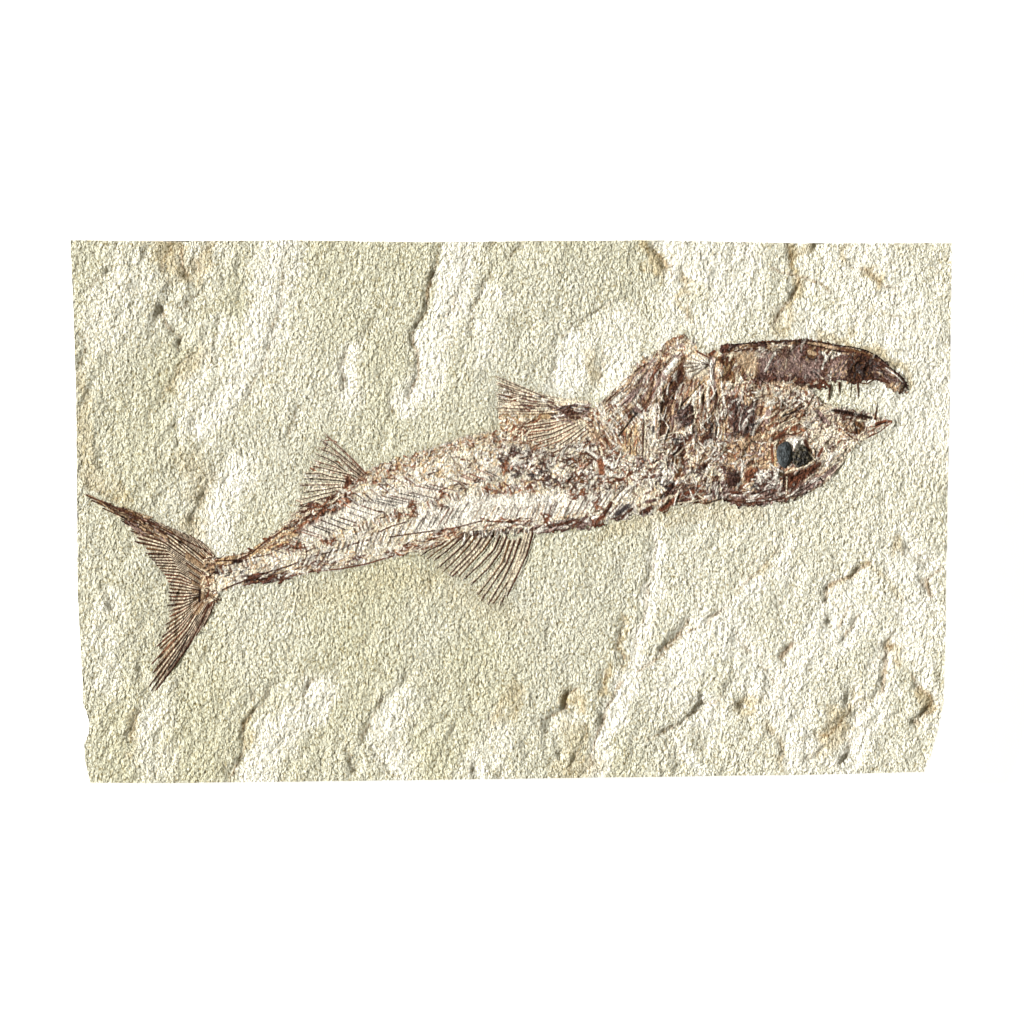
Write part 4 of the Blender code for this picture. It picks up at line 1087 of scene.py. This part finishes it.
# ---------------------------------------------------------------------------------------------
# The gill cover and throat: long bones side by side across the head, with deep brown hollows
# between them, a smooth white bone down the middle and a small fan of rays at the top.
# ---------------------------------------------------------------------------------------------
def knots(inks, seed, places):
    """Small patches of stain, each given by its middle and its reach both ways."""
    turns = np.linspace(0, 2 * math.pi, 9)[:-1]
    for number, (x, y, wide, high) in enumerate(traced(places)):
        ring = [(x + wide * math.cos(turn), y + high * math.sin(turn)) for turn in turns]
        strewn(ring, int(0.32 * wide * high) + 4, inks, 30, 50, 4.6, 1.6, 0.18, seed + number)


GILL_RING = (
    "657,353 662,347 670,340 681,334 690,340 697,347 695,352 712,354 722,347 724,400 724,499 706,505 "
    "692,500 674,503 665,511 657,509"
)
washed(GILL_RING, "tan", 1.0)
strewn(GILL_RING, 900, "umber russet plum tan rust chalk cream umber mauve", 72, 35, 5.5, 1.5, 0.14, 41)
strewn(
    "657,352 681,335 694,344 694,356 676,356 660,364", 260, "rust tan umber cream russet chalk cream mauve",
    50, 45, 4.4, 1.5, 0.14, 42,
)
strewn(
    "657,356 666,352 668,366 660,380 656,384", 70, "mauve russet cream umber tan", 60, 20, 5, 1.5, 0.14, 43
)
strewn("686,340 697,348 694,354 686,352", 50, "cream chalk tan ochre cream", 40, 60, 4, 1.6, 0.14, 44)
laid(
    "umber 10 -0.1 684,372 676,381 668,392 664,406 661,426", "bronze 6.5 -0.04 683,361 679,371 673,380",
    "peat 5.4 -0.2 672,386 667,396 664,408 661.5,422",
)
strewn(
    "682,360 688,372 680,386 674,410 668,440 658,440 661,408 668,388", 170,
    "peat umber umber bronze plum umber tan", 68, 12, 8, 1.4, 0.0, 45,
)
strewn(
    "676,392 682,388 680,420 674,444 666,444", 120, "plum umber russet umber mauve tan", 78, 12, 8, 1.5,
    0.1, 46,
)
laid(
    "mauve 8.4 0.26 676,358 671,366 664,375 661,384", "chalk 6.4 0.36 675.4,360 671,366.5 665.5,373",
    "mauve 5 0.2 661.4,382 659.4,392 656.4,410 654,430",
)
strewn(
    "657,380 664,380 661,410 658,440 650,442 653,410", 110, "chalk mauve chalk cream tan plum", 80, 12, 5,
    1.5, 0.24, 47,
)
washed("687,373 697,376 695,384 690,390 686,384", "russet", 0.7, 0.12)
washed("686,380 694,378 691,392 687,396", "ochre", 0.75, 0.14)
washed("679,388 686,384 686,400 680,410 676,404", "plum", 0.8, 0.1)
washed("678,408 690,406 695,418 688,427 678,424", "plum", 0.8, 0.04)
strewn(
    "678,388 696,376 694,392 684,404 676,406", 70, "plum umber tan rust mauve cream", 66, 14, 7, 1.3, 0.14,
    48,
)
strewn(
    "677,407 690,405 696,418 688,428 677,425", 120, "slate peat plum umber mauve", 50, 30, 4.6, 1.6, 0.1,
    49,
)
washed("685,363 697,354 708,357 710,374 698,378 687,374", "cream", 0.85, 0.1)
for x, y in traced("684,366 686,371 690,376 687,361 692,357 698,354 704,353"):
    stroke([(709, 365), (x + 1, y + 2)], 1.2, "umber", 0.02)
    stroke([(709, 364), (x, y)], 1.5, "chalk", 0.26)
laid(
    "russet 2.2 0.14 697,352 705,356 712,360", "russet 5 0.16 710,355 714,352",
    "umber 2.6 0 703,386 703,409", "russet 3.2 0.04 712,386 711,402",
    "umber 3.6 0 715.5,388 718,404 719,426", "mauve 6.2 0.22 711.5,359 711.5,372 713,386",
    "chalk 3.4 0.3 711,361 711,372 712.6,384", "chalk 3.2 0.26 708.6,381 707,396 708,412",
    "mauve 3.4 0.22 700.6,386 700,398 701,408", "chalk 1.6 0.26 699.6,387 699.4,404",
    "chalk 3.2 0.24 696,392 693,402 692,411", "chalk 2.8 0.26 721,382 723,398 725,415",
    "tan 2.4 0.16 717,384 718.6,394", "peat 1.9 -0.05 704,381 696,389 688,398 680,407",
    "ochre 1.3 0.22 706,378 697,387 689,396", "chalk 1.2 0.2 699,390 691,399 683,409",
)
strewn("710,361 714,361 715,384 710,384", 16, "umber mauve slate", 80, 25, 3.4, 1.0, 0.2, 50)
strewn(
    "694,406 726,404 726,446 694,442", 230, "umber plum tan chalk russet umber cream", 80, 14, 7, 1.4, 0.14,
    51,
)
laid(
    "peat 4 0 712,424 710,436 705,444", "peat 2.6 0 716.4,423 716,440 714,450",
    "ochre 2.2 0.16 723,428 722,447",
)
strewn(
    "656,438 690,430 724,442 724,488 656,488", 800,
    "plum umber chalk cream russet mauve tan chalk bronze umber", 42, 50, 4.8, 1.6, 0.16, 52,
)
strewn("672,444 684,442 684,474 674,476", 110, "bronze peat umber bronze umber", 78, 22, 5, 1.8, 0.08, 53)
strewn(
    "657,460 674,462 672,492 657,492", 120, "chalk mauve chalk slate cream umber", 50, 50, 4, 1.8, 0.16, 54
)
strewn(
    "670,486 700,484 704,500 674,503", 170, "russet umber plum rust cream umber", 20, 15, 7, 1.6, 0.14, 55
)
strewn("706,484 730,482 730,496 708,500", 110, "slate mauve umber chalk plum", 30, 40, 4.5, 1.6, 0.14, 56)
laid(
    "russet 5 0.14 682,440 690,439", "umber 4 0.16 695,471 700,467 706.5,465.5",
    "cream 6 0.12 692,474 698,479", "cream 5 0.12 711,470 719,474", "peat 4.4 0.02 661,498 667,492 673,486",
    "cream 1.6 0.2 657,452 668,451 676,443", "peat 2 0.06 706,503.4 716,500.4 731,495",
    "cream 1.5 0.2 675,503.6 688,502 702,500", "russet 5 0.14 661,510 674,501",
    "cream 1.6 0.22 660,437 672,433 688,431", "russet 5 0.14 679,496 690,492 700,491",
    "umber 5 0.06 675,446 682,451", "bronze 6 0.08 676,460 678,473", "umber 5 0.08 683,443 690,436",
    "peat 4 0 692,407 693,420", "umber 4.4 0.14 646,466 650,480",
)
strewn("655,385 722,385 720,500 655,502", 80, "chalk cream chalk", 78, 30, 8, 1.3, 0.26, 118)
knots(
    "plum umber peat umber slate", 130,
    "690,416,5,9 707,435,5.5,6 676,443,4,6 697,470,8,4.5 726,470,6,5.5 669,488,5,7 674,385,3.5,16",
)
rust_bone = fossil_bone("rust_bone", 0.7)
sheet_of_bone("gill_cover", 120, 268, rust_bone, 0.02, 1.0)


# ---------------------------------------------------------------------------------------------
# The trunk: the backbone with its ribs and spines, thin and dark, over rock picked clean and
# white, between the dark lines of the back and the belly. Scales and flesh left rust flecks.
# ---------------------------------------------------------------------------------------------
def combed(first, last, count, inks, width, seed, highlight_ink="chalk", beside=(1.9, 0.7)):
    """A row of nearly parallel bones, from a first line to a last, each with a pale strip of painted
    highlight beside it.
    """
    chance = np.random.default_rng(seed)
    first, last, inks = traced(first), traced(last), inks.split()
    for share in np.linspace(0, 1, count):
        line = first * (1 - share) + last * share
        line = line + chance.normal(0, 0.6, first.shape) + chance.normal(0, 1.0, 2)
        line[0] += (line[-1] - line[0]) * chance.uniform(0, 0.35)
        # the pale strip beside each bone is painted highlight
        stroke(line + beside, 1.3 * width, highlight_ink, 0.06, 0.95, 0.3)
        wide, ink = width * chance.uniform(0.9, 1.4), inks[chance.integers(len(inks))]
        stroke(line, wide, ink, 0.24, chance.uniform(0.75, 1), 0.3)


TRUNK_RING = (
    "212,562 225,558 240,556 256,548 272,538 288,524 310,509 326,499 345,481 366,471 395,460 425,450 "
    "455,439 485,431 503,434 530,442 560,441 585,432 594,408 612,393 628,376 640,362 657,352 660,508 "
    "636,514 614,516 600,523 585,526 560,528 533,532 500,534 470,538 442,544 420,549 396,555 366,564 "
    "342,569 312,572 290,577 262,581 242,584 224,590 212,594"
)
BACKBONE = "214,573 250,562 286,552 310,545 340,535 375,523 408,512 440,499 487,491 532,486 566,480 612,470"
washed(TRUNK_RING, "cream", 0.85, 0.02, 5)
strewn(
    TRUNK_RING, 2700, "chalk chalk cream chalk russet chalk tan chalk ochre chalk", 50, 40, 5.4, 1.6, 0.14,
    61,
)
# the stem of the tail, between its two dark edges
strewn(
    "214,558 240,556 266,540 314,507 320,514 290,541 252,557 218,568", 330,
    "ochre rust tan russet ochre cream umber", 24, 18, 7, 1.8, 0.14, 62,
)
strewn(
    "222,571 252,561 284,556 284,571 252,577 228,586", 150, "chalk cream chalk slate cream tan", 20, 40, 6,
    1.8, 0.12, 63,
)
laid(
    "umber 2.1 0.16 217,561 237,560 252,553 266,541 286,529 314,508",
    "umber 1.8 0.14 218,567 237,563 252,558 271,554 290,543", "peat 4 0.16 234,562 241,561",
    "peat 2.6 0.16 205,563 215,573", "peat 4.6 0.16 212,572.5 219,572.5", "cream 8 0.06 212,587 221,588",
    "chalk 4.4 0.06 213,555 212,563", "umber 2.1 0.16 222,590 236,584 247,580 257,579",
    "umber 3 0.16 249,578 262,579 284,576", "russet 1.9 0.16 286,577 314,571 339,569 366,564 396,555",
    "umber 1.9 0.14 258,575 286,567 314,556 339,550 353,544 369,540",
)
strewn("246,574 284,571 288,580 250,584", 60, "umber plum peat russet umber", 12, 14, 8, 1.9, 0.18, 64)
strewn(
    "262,577 312,562 352,550 366,558 330,568 290,575", 190, "cream umber chalk tan plum chalk russet", 18,
    25, 6, 1.6, 0.12, 65,
)
# the speckled back, from the anal fin forward
strewn(
    "296,522 330,497 350,483 364,476 352,500 322,520 300,534", 220, "rust russet umber cream rust chalk",
    30, 40, 5.4, 1.8, 0.14, 66,
)
strewn(
    "366,470 395,459 430,450 458,440 500,430 545,444 497,442 458,449 430,462 395,477 372,485", 520,
    "tan rust umber ochre cream rust chalk", 40, 55, 3.6, 1.4, 0.16, 67,
)
strewn(
    "380,482 440,460 500,445 520,452 500,478 440,494 380,512", 420,
    "chalk tan chalk cream umber chalk ochre", 35, 60, 5, 1.7, 0.14, 68,
)
# the backbone: a row of small bones
joints = along(BACKBONE, np.linspace(0.0, 1.0, 96)) * (1, -1) / SHEET + SHEET_MIDDLE
chance = np.random.default_rng(69)
for x, y in joints[1:-1][chance.random(len(joints) - 2) < 0.75]:
    ink = ("russet", "umber", "rust", "ochre", "plum")[chance.integers(5)]
    jog, pale_jog = chance.normal(0, 1.2, 2)
    stroke([(x - 1.6, y - 3.4 + jog), (x + 1.2, y + 3.4 + jog)], 2.1, ink, 0.2, chance.uniform(0.5, 1))
    pale = [(x + 0.9, y - 3.2 + pale_jog), (x + 3.2, y + 3.0 + pale_jog)]
    stroke(pale, 1.7, "chalk", 0.16, chance.uniform(0.5, 1))
strewn("487,485 534,481 534,493 487,498", 60, "rust ochre russet chalk rust", 30, 50, 5, 1.9, 0.16, 70)
# the spines over the backbone, the ribs under it
washed("300,530 350,506 430,482 450,492 380,514 310,540", "chalk", 0.6, 0.04)
washed("418,510 470,498 540,494 600,492 604,506 560,516 500,520 440,529 414,534", "chalk", 0.7, 0.04)
combed("262,553 280,558", "296,531 320,540", 7, "russet umber rust", 1.5, 71)
combed("300,529 324,538", "355,504 380,513", 9, "umber peat russet umber", 1.6, 72)
combed("362,502 388,507", "428,484 456,491", 11, "umber russet peat umber", 1.6, 73)
combed("338,498 350,508", "398,472 414,484", 9, "russet rust umber", 1.6, 74)
combed("446,478 466,484", "482,468 500,478", 6, "russet umber rust", 1.5, 75)
combed("300,557 294,567", "392,526 387,543", 15, "umber russet peat umber", 1.6, 76)
combed("402,522 395,537", "470,499 456,521", 11, "umber peat russet umber", 1.6, 77)
combed("482,503 473,520", "530,501 518,524", 8, "russet umber tan umber", 1.5, 78)
combed("534,501 526,525", "560,498 551,520", 8, "umber russet tan", 1.5, 79)
combed("566,500 556,518", "612,490 600,508", 8, "tan umber russet", 1.5, 80)
laid(
    "umber 1.9 0.16 379,532 392,526 406,522", "umber 1.9 0.16 390,537 410,534 432,531 459,528",
    "umber 1.8 0.16 378,511 384,512 385,517 380,518",
)
# the belly's dark line and the bones along it
strewn(
    "386,552 402,545 432,534 456,527 460,534 436,545 400,556", 200, "umber tan russet rust cream chalk", 18,
    25, 5, 1.4, 0.16, 81,
)
laid(
    "russet 2 0.18 432,534 441,531 458,527", "umber 1.9 0.16 458,527 481,521 511,522",
    "umber 4.4 0.16 534,527 543,530 552,525 562,524 578,523 587,517",
)
strewn(
    "481,518 534,519 534,526 500,530 481,527", 70, "russet umber cream rust chalk umber", 10, 25, 5.4, 1.9,
    0.16, 82,
)
strewn(
    "533,522 552,521 582,518 592,512 600,520 590,528 560,530 536,533", 130,
    "plum umber russet peat umber mauve chalk", 18, 25, 6, 2.0, 0.2, 83,
)
# the thick crushed part behind the head
strewn(
    "500,444 530,448 584,440 640,440 658,440 658,486 600,494 534,482 500,470", 900,
    "umber chalk russet umber chalk cream plum rust umber chalk", 38, 45, 5.4, 1.5, 0.18, 84,
)
strewn("508,449 532,451 534,468 512,468", 50, "chalk mauve chalk umber chalk", 40, 50, 4.6, 1.8, 0.16, 85)
knots(
    "umber plum peat slate umber", 90,
    "504,458,6,6 514,451,5.5,4.5 528,458,5,4 540,462,4,3 518,473,5,3.5 531,475,4.5,3 544,470,5.5,4 "
    "550,480,8,6 477,481,5,3.5 464,486,5,4.5",
)
knots("rust mauve russet rust", 100, "507,466,7,4")
knots(
    "russet umber rust russet bronze", 110,
    "579,461,14,4.5 577,478,12,5 577,494,12,6.5 597,504,4,10 546,518,4.5,4.5 443,506,4,2.5 442,494,4,5 "
    "413,510,6,10 398,513,4.5,7 627,473,4.4,3.4 621,481,4.4,3.4 598,522,6,5.5 330,541,7,4 300,546,6,3.5",
)
knots("plum slate mauve chalk umber", 130, "619,513,11,8 647,511,5,5 652,472,5,5 640,460,5,5")
combed("600,516 614,504", "624,520 634,503", 5, "umber plum peat", 1.8, 140)
laid(
    "chalk 3.4 0.2 616,501 630,486", "umber 1.5 0.16 613,500 628,484", "umber 1.5 0.16 618,502 632,487",
    "umber 2.2 0.14 586,453 598,462 613,471", "chalk 3.4 0.22 586,449 598,458 614,467",
    "plum 2.4 0.18 586,439 593,446 600,452", "cream 1.6 0.22 645,449 656,452 668,451 675,443",
    "umber 5.4 0.2 605,513 611,503", "slate 6 0.2 617,514 628,506", "umber 4 0.2 622,517 632,509",
    "umber 5.4 0.2 641,513 652,507", "russet 4.6 0.2 594,521 604,516", "umber 4 0.2 558,525 571,522",
    "plum 4 0.2 646,502 655,500", "rust 8 0.1 600,461 602,472",
)
# the neck: fine crossed fibres
NECK_RING = "588,436 594,410 612,394 630,376 642,362 657,354 657,440 630,446 600,446"
washed(NECK_RING, "tan", 0.8)
strewn(NECK_RING, 560, "cream umber rust tan chalk umber russet", 48, 9, 11, 1.4, 0.18, 150)
strewn(NECK_RING, 280, "cream russet chalk tan chalk", -58, 10, 9, 1.3, 0.18, 151)
strewn("612,396 645,362 656,356 650,384 624,404", 130, "mauve tan chalk umber", 45, 8, 11, 1.7, 0.18, 152)
strewn("624,427 637,425 638,451 623,452", 80, "ochre rust cream ochre umber", 84, 12, 7, 1.7, 0.16, 153)
strewn("588,430 604,420 612,440 600,456", 50, "tan umber cream russet", -50, 14, 9, 1.3, 0.16, 154)
combed("641,420 640,459", "652,419 650,457", 4, "umber", 1.5, 155, "cream")
strewn(
    "649,400 658,398 658,446 649,446", 90, "chalk cream chalk mauve chalk umber", 76, 20, 5, 1.9, 0.2, 156
)
laid(
    "peat 2.4 0 643,407 631,420 619,436", "mauve 6 0.24 635,409 641,411", "chalk 3 0.3 639,407 643,410",
    "slate 3 0.2 633,411 636,415", "slate 3 0.2 653,427 653,432",
)
strewn("640,372 657,362 657,400 646,410", 80, "tan chalk mauve russet umber", 60, 10, 11, 1.7, 0.16, 157)
sheet_of_bone("trunk", 560, 168, rust_bone, 0.0, 0.8)


# ---------------------------------------------------------------------------------------------
# The fins: fans of thin jointed rays, dark brown, pressed flat with the rock showing between
# them. Each ray splits and frays towards its tip.
# ---------------------------------------------------------------------------------------------
def ray(line, width, ink="umber", highlight_ink="cream", strength=1.0):
    """One fin ray, with a pale strip of painted highlight on its upper left, the side that faces the lamp.
    """
    line = traced(line)
    # the pale strip of painted highlight
    stroke(line - (1.3, 1.5), 1.2 * width, highlight_ink, 0.0, 0.9 * strength, 0.5)
    stroke(line, width, ink, 0.2, strength, 0.65)


def jointed(line, width, ink, seed):
    """A ray with the small dark joints that cross it, and a split tip."""
    chance = np.random.default_rng(seed)
    line = traced(line)
    ray(line, width, ink)
    way = line[-1] - line[-2]
    way /= np.hypot(*way)
    aside = np.array([way[1], -way[0]])
    root = line[-1] - way * 9
    for sign in (-1, 1):
        tip = line[-1] + aside * sign * 1.7 + way * chance.uniform(-4, 2)
        stroke([root, tip], 0.9, ink, 0.12, 0.7, 0.6)


# the pectoral fin, its upper rays doubled and brown, its lower half rust
washed("592,402 560,399 530,400 506,394 506,408 540,416 590,424", "tan", 0.8, 0.02)
washed("500,404 540,410 586,412 588,424 552,450 528,446 500,432", "ochre", 0.65, 0.02)
strewn(
    "500,404 540,412 548,448 528,446 501,434", 260, "cream rust cream russet chalk tan", 30, 50, 4, 1.4,
    0.14, 204,
)
washed("592,410 560,416 520,424 508,430 520,440 540,453 556,450 590,432", "tan", 0.7, 0.04)
strewn(
    "590,412 560,416 516,422 506,429 540,453 558,452 588,430", 300, "russet umber rust cream umber rust",
    206, 12, 9, 1.5, 0.16, 200,
)
for number, tip in enumerate((377, 383, 389, 394, 399, 404, 408, 412)):
    line = np.array([
        (588, 403 + number), (566, 401 + 1.3 * number), (540, 395 + 2.4 * number),
        (517, (tip + 394 + 2.6 * number) / 2), (497 + number % 3, tip),
    ])
    ray(line, 2.4, ("umber", "russet")[number % 2], "cream")
    ray(line + (0, 2.3), 1.8, ("russet", "bronze")[number % 2], "cream")
strewn(
    "500,384 530,394 560,400 560,412 530,412 500,408", 70, "umber russet chalk plum", 172, 10, 5, 1.5, 0.16,
    201,
)
RUSTY_RAYS = [
    "588,415 570,419 552,423 520,428", "588,417 570,423 550,430 514,434", "588,419 570,426 552,434 524,440",
    "588,421 572,429 556,437 529,445", "588,423 574,432 560,441 534,450", "587,426 575,435 562,444 541,454",
    "588,429 578,437 568,446 554,453",
]
for number, line in enumerate(RUSTY_RAYS):
    ray(line, 2.9, ("russet", "rust", "umber")[number % 3], "cream")
    ray(traced(line) + (1.2, 2.6), 1.4, "umber", "cream")
washed("566,408 583,405 584,417 568,417", "plum", 0.5, 0.06)
strewn(
    "550,406 586,404 588,420 552,421", 110, "slate plum umber mauve umber chalk tan", 178, 18, 7, 1.8, 0.16,
    202,
)
strewn("509,427 528,426 530,436 514,440", 40, "rust russet umber cream", 30, 40, 5, 1.8, 0.16, 203)
sheet_of_bone("pectoral_fin", 170, 156, rust_bone, 0.02, 0.5)

# the anal fin, low and long, feathered at its tips
ANAL_RAYS = [
    "366,474 356,463 346,453 337,445 325,434", "364,475 352,464 341,455 331,447 321,440",
    "362,477 350,467.5 339,457 329,452 318,448.5", "358,478 349,474 334,462 326,458 316,454",
    "356,480 345,473 335,467 325,464 315,461", "354,481 350,475 334,471 322,468 312,466",
    "354,482 348,480 332,477 319,473 304,474", "352,484 341,481 330,480 318,479 305,479",
    "350,486 336,485 324,485 312,485 300,485.5", "348,487 335,488 326,489.5 315,491 302,493",
    "344,490 334,492 324,494 312,497 300,500", "338,494 328,497 318,500 308,503 298,507",
    "334,498 324,502 314,505.5 303,510 291,516", "326,503 316,507 304,513 292,520 281,527",
    "318,509 306,515 294,522 282,529 272,535",
]
strewn(
    "364,472 326,436 304,474 300,500 276,530 290,528 330,504 350,488", 120, "cream chalk cream rust", 160,
    20, 7, 1.6, 0.06, 220,
)
for number, line in enumerate(ANAL_RAYS):
    jointed(line, 2.3, ("russet", "umber", "umber", "peat")[number % 4], 230 + number)
    ray(traced(line) + (0.6, 2.5), 1.1, "russet", "cream", 0.8)
strewn("345,477 352,479 350,496 344,497", 40, "russet umber rust", 100, 15, 6, 1.7, 0.2, 221)
strewn("302,506 330,497 334,502 306,520", 110, "umber russet plum cream umber", 28, 30, 5.4, 1.9, 0.18, 222)
strewn(
    "306,510 330,498 348,488 362,480 360,488 334,504 310,518 284,532 278,531", 120,
    "russet rust umber cream umber", 28, 25, 5.4, 1.8, 0.16, 223,
)
sheet_of_bone("anal_fin", 200, 92, rust_bone, 0.02, 0.35)

# the dorsal fin, its long rays in pairs, swept back and down
DORSAL_RAYS = [
    "456,535 440,545 430,549.5 421,555.5", "461,534 448,544 436,552 427,559",
    "467,533 456,542.5 446,551.5 434,561", "473,533.5 463,545.5 451,556.5 437,569",
    "478,533.5 468,546.5 456,559.5 443,572", "484,534 474,549 461,562.5 449,575.5",
    "489,534.5 479,549.5 466,563 452,577", "493.5,535 483,550 470.5,563.5 458,577.5",
    "500,536 494,549.5 481,563.5 463,580.5", "506.5,537 500,552 488,568.5 471,585",
    "509.5,541 502.5,562 491,578 478,595", "514.6,541 506.5,563 495.5,580 481,601",
    "520,539 513.5,558.5 503,580 488,605", "526,536 519.5,557 510,579 493,604",
    "529,535 523,556 514,577 500,606", "532.5,534 526.5,555 517,575 507,596",
]
for number, line in enumerate(DORSAL_RAYS):
    jointed(line, 3.1, ("umber", "bronze", "umber")[number % 3], 250 + number)
    stroke(traced(line) + (2.4, 1.2), 1.5, ("russet", "umber")[number % 2], 0.16, 0.9, 0.7)
strewn(
    "430,540 456,530 470,530 458,538 436,545", 50, "umber russet tan cream russet", 20, 14, 7, 1.3, 0.16,
    240,
)
strewn(
    "460,529 536,526 534,535 500,535 462,534", 90, "peat umber slate umber chalk", 78, 14, 4.4, 1.5, 0.16,
    241,
)
sheet_of_bone("dorsal_fin", 190, 134, rust_bone, 0.02, 0.35)

# the tail fin: two lobes of crowded rays that fan from the end of the backbone
TAIL_ROOTS = (
    "219,560 208,561 204,561 202,565 201,570 200,577 199,584 199,591 200,597 201,600 203,602 206,603 "
    "209,604 216,598"
)
TAIL_MIDDLES = (
    "209,548 190,541 172,532 165,537 163,543 170,556 180,573 181,588 183,602 182,614 182,630 188,632 "
    "196,628 211,612"
)
TAIL_ENDS = (
    "202,541 154,520 88,496 108,512 128,532 148,556 158,571 168,586 168,602 166,624 154,656 150,680 "
    "149,701 204,626"
)


def between_marks(places, share):
    """The point this far along a list of places that are taken as evenly spaced."""
    places = traced(places)
    return np.array([np.interp(share * (len(places) - 1), range(len(places)), axis) for axis in places.T])


TAIL_RING = (
    "221,560 206,550 188,541 165,529 140,517 120,506 130,526 146,546 160,558 172,573 176,583 176,600 "
    "172,622 164,645 156,672 160,684 170,668 185,644 201,620 210,605 221,598"
)
washed(TAIL_RING, "tan", 0.8, 0.03, 6)
washed(TAIL_RING, "bronze", 0.3, 0.03, 6)
chance = np.random.default_rng(300)
walked = np.cumsum([0, *np.hypot(*np.diff(traced(TAIL_MIDDLES), axis=0).T)])
shares = np.interp(np.arange(0, walked[-1], 1.75), walked, np.linspace(0, 1, len(walked)))
for number, share in enumerate(shares):
    line = [between_marks(places, share) for places in (TAIL_ROOTS, TAIL_MIDDLES, TAIL_ENDS)]
    line[2] = line[1] + (line[2] - line[1]) * chance.uniform(0.8, 1.06)
    if number % 8 > 3:
        line[0] = line[0] + (line[1] - line[0]) * 0.45
    if number % 2:
        stroke(line, 2.1, ("umber", "russet", "umber", "bronze")[chance.integers(4)], 0.2, 1.0, 0.2)
    else:
        stroke(line, 1.6, "cream", 0.0, 0.9, 0.2)
    if number % 2 and 0.3 < share < 0.72:
        stroke([line[1], line[2] + (1.6, 1.6)], 1.2, "umber", 0.16, 0.9, 0.4)
strewn(
    "86,495 112,503 146,515 140,522 120,515 100,504", 60, "umber peat bronze tan", 156, 7, 9, 1.5, 0.18,
    301,
)
strewn(
    "118,507 146,518 172,533 168,540 142,534 124,522", 110, "peat umber tan bronze umber mauve", 152, 12, 7,
    1.5, 0.18, 302,
)
strewn(
    "206,556 220,560 222,600 206,602 202,590 204,572", 130, "umber tan cream umber cream russet", 172, 28,
    8, 1.5, 0.18, 303,
)
laid(
    "umber 2 0.16 222,570 214,572 208,578", "russet 2 0.16 206,576 210,588 206,598",
    "cream 5 0.2 219,582 211,588", "peat 3.4 0.14 199,601 200,590",
    "umber 1.9 0.2 212,556 203,549 186,541 163,529 138,518 106,503 84,494.5",
    "umber 2.4 0.2 209,605 200,625 189,645 177,662 167,676 157,690 149.5,700",
    "peat 2 0.2 188,636 178,656 168,670", "peat 1.6 0.2 204,558 190,548 178,540 166,533",
)
sheet_of_bone("tail_fin", 350, 190, rust_bone, 0.02, 0.35)


# ---------------------------------------------------------------------------------------------
# The floor and the light: a plain white table, a low lamp on the left that rakes the face, and
# soft white light from all round.
# ---------------------------------------------------------------------------------------------
table = bmesh.new()
bmesh.ops.create_grid(table, x_segments=1, y_segments=1, size=2.0)
floor = finished_mesh(table, "floor")
white = bpy.data.materials.new("white_table")
white.use_nodes = True
paper = white.node_tree.nodes["Principled BSDF"]
paper.inputs["Base Color"].default_value = (0.9, 0.9, 0.9, 1)
paper.inputs["Roughness"].default_value = 0.9
paper.inputs["Emission Color"].default_value = (1, 1, 1, 1)
paper.inputs["Emission Strength"].default_value = 0.8
floor.data.materials.append(white)

LAMP_HEIGHT = math.radians(28)  # over the horizon
LAMP_SIDE = math.radians(168)  # the side it shines from, from the head round by the belly
level = math.cos(LAMP_HEIGHT)
toward = Vector((level * math.cos(LAMP_SIDE), level * math.sin(LAMP_SIDE), math.sin(LAMP_HEIGHT)))
lamp = bpy.data.objects.new("lamp", bpy.data.lights.new("lamp", "SUN"))
lamp.data.energy = 8.2
lamp.data.angle = math.radians(4)
lamp.data.color = (0.99, 0.995, 1.0)
lamp.rotation_euler = toward.to_track_quat("Z", "Y").to_euler()
bpy.context.scene.collection.objects.link(lamp)

world = bpy.context.scene.world or bpy.data.worlds.new("studio")
bpy.context.scene.world = world
world.use_nodes = True
sky = world.node_tree.nodes["Background"]
sky.inputs["Color"].default_value = (1.0, 0.93, 0.78, 1)
sky.inputs["Strength"].default_value = 0.27
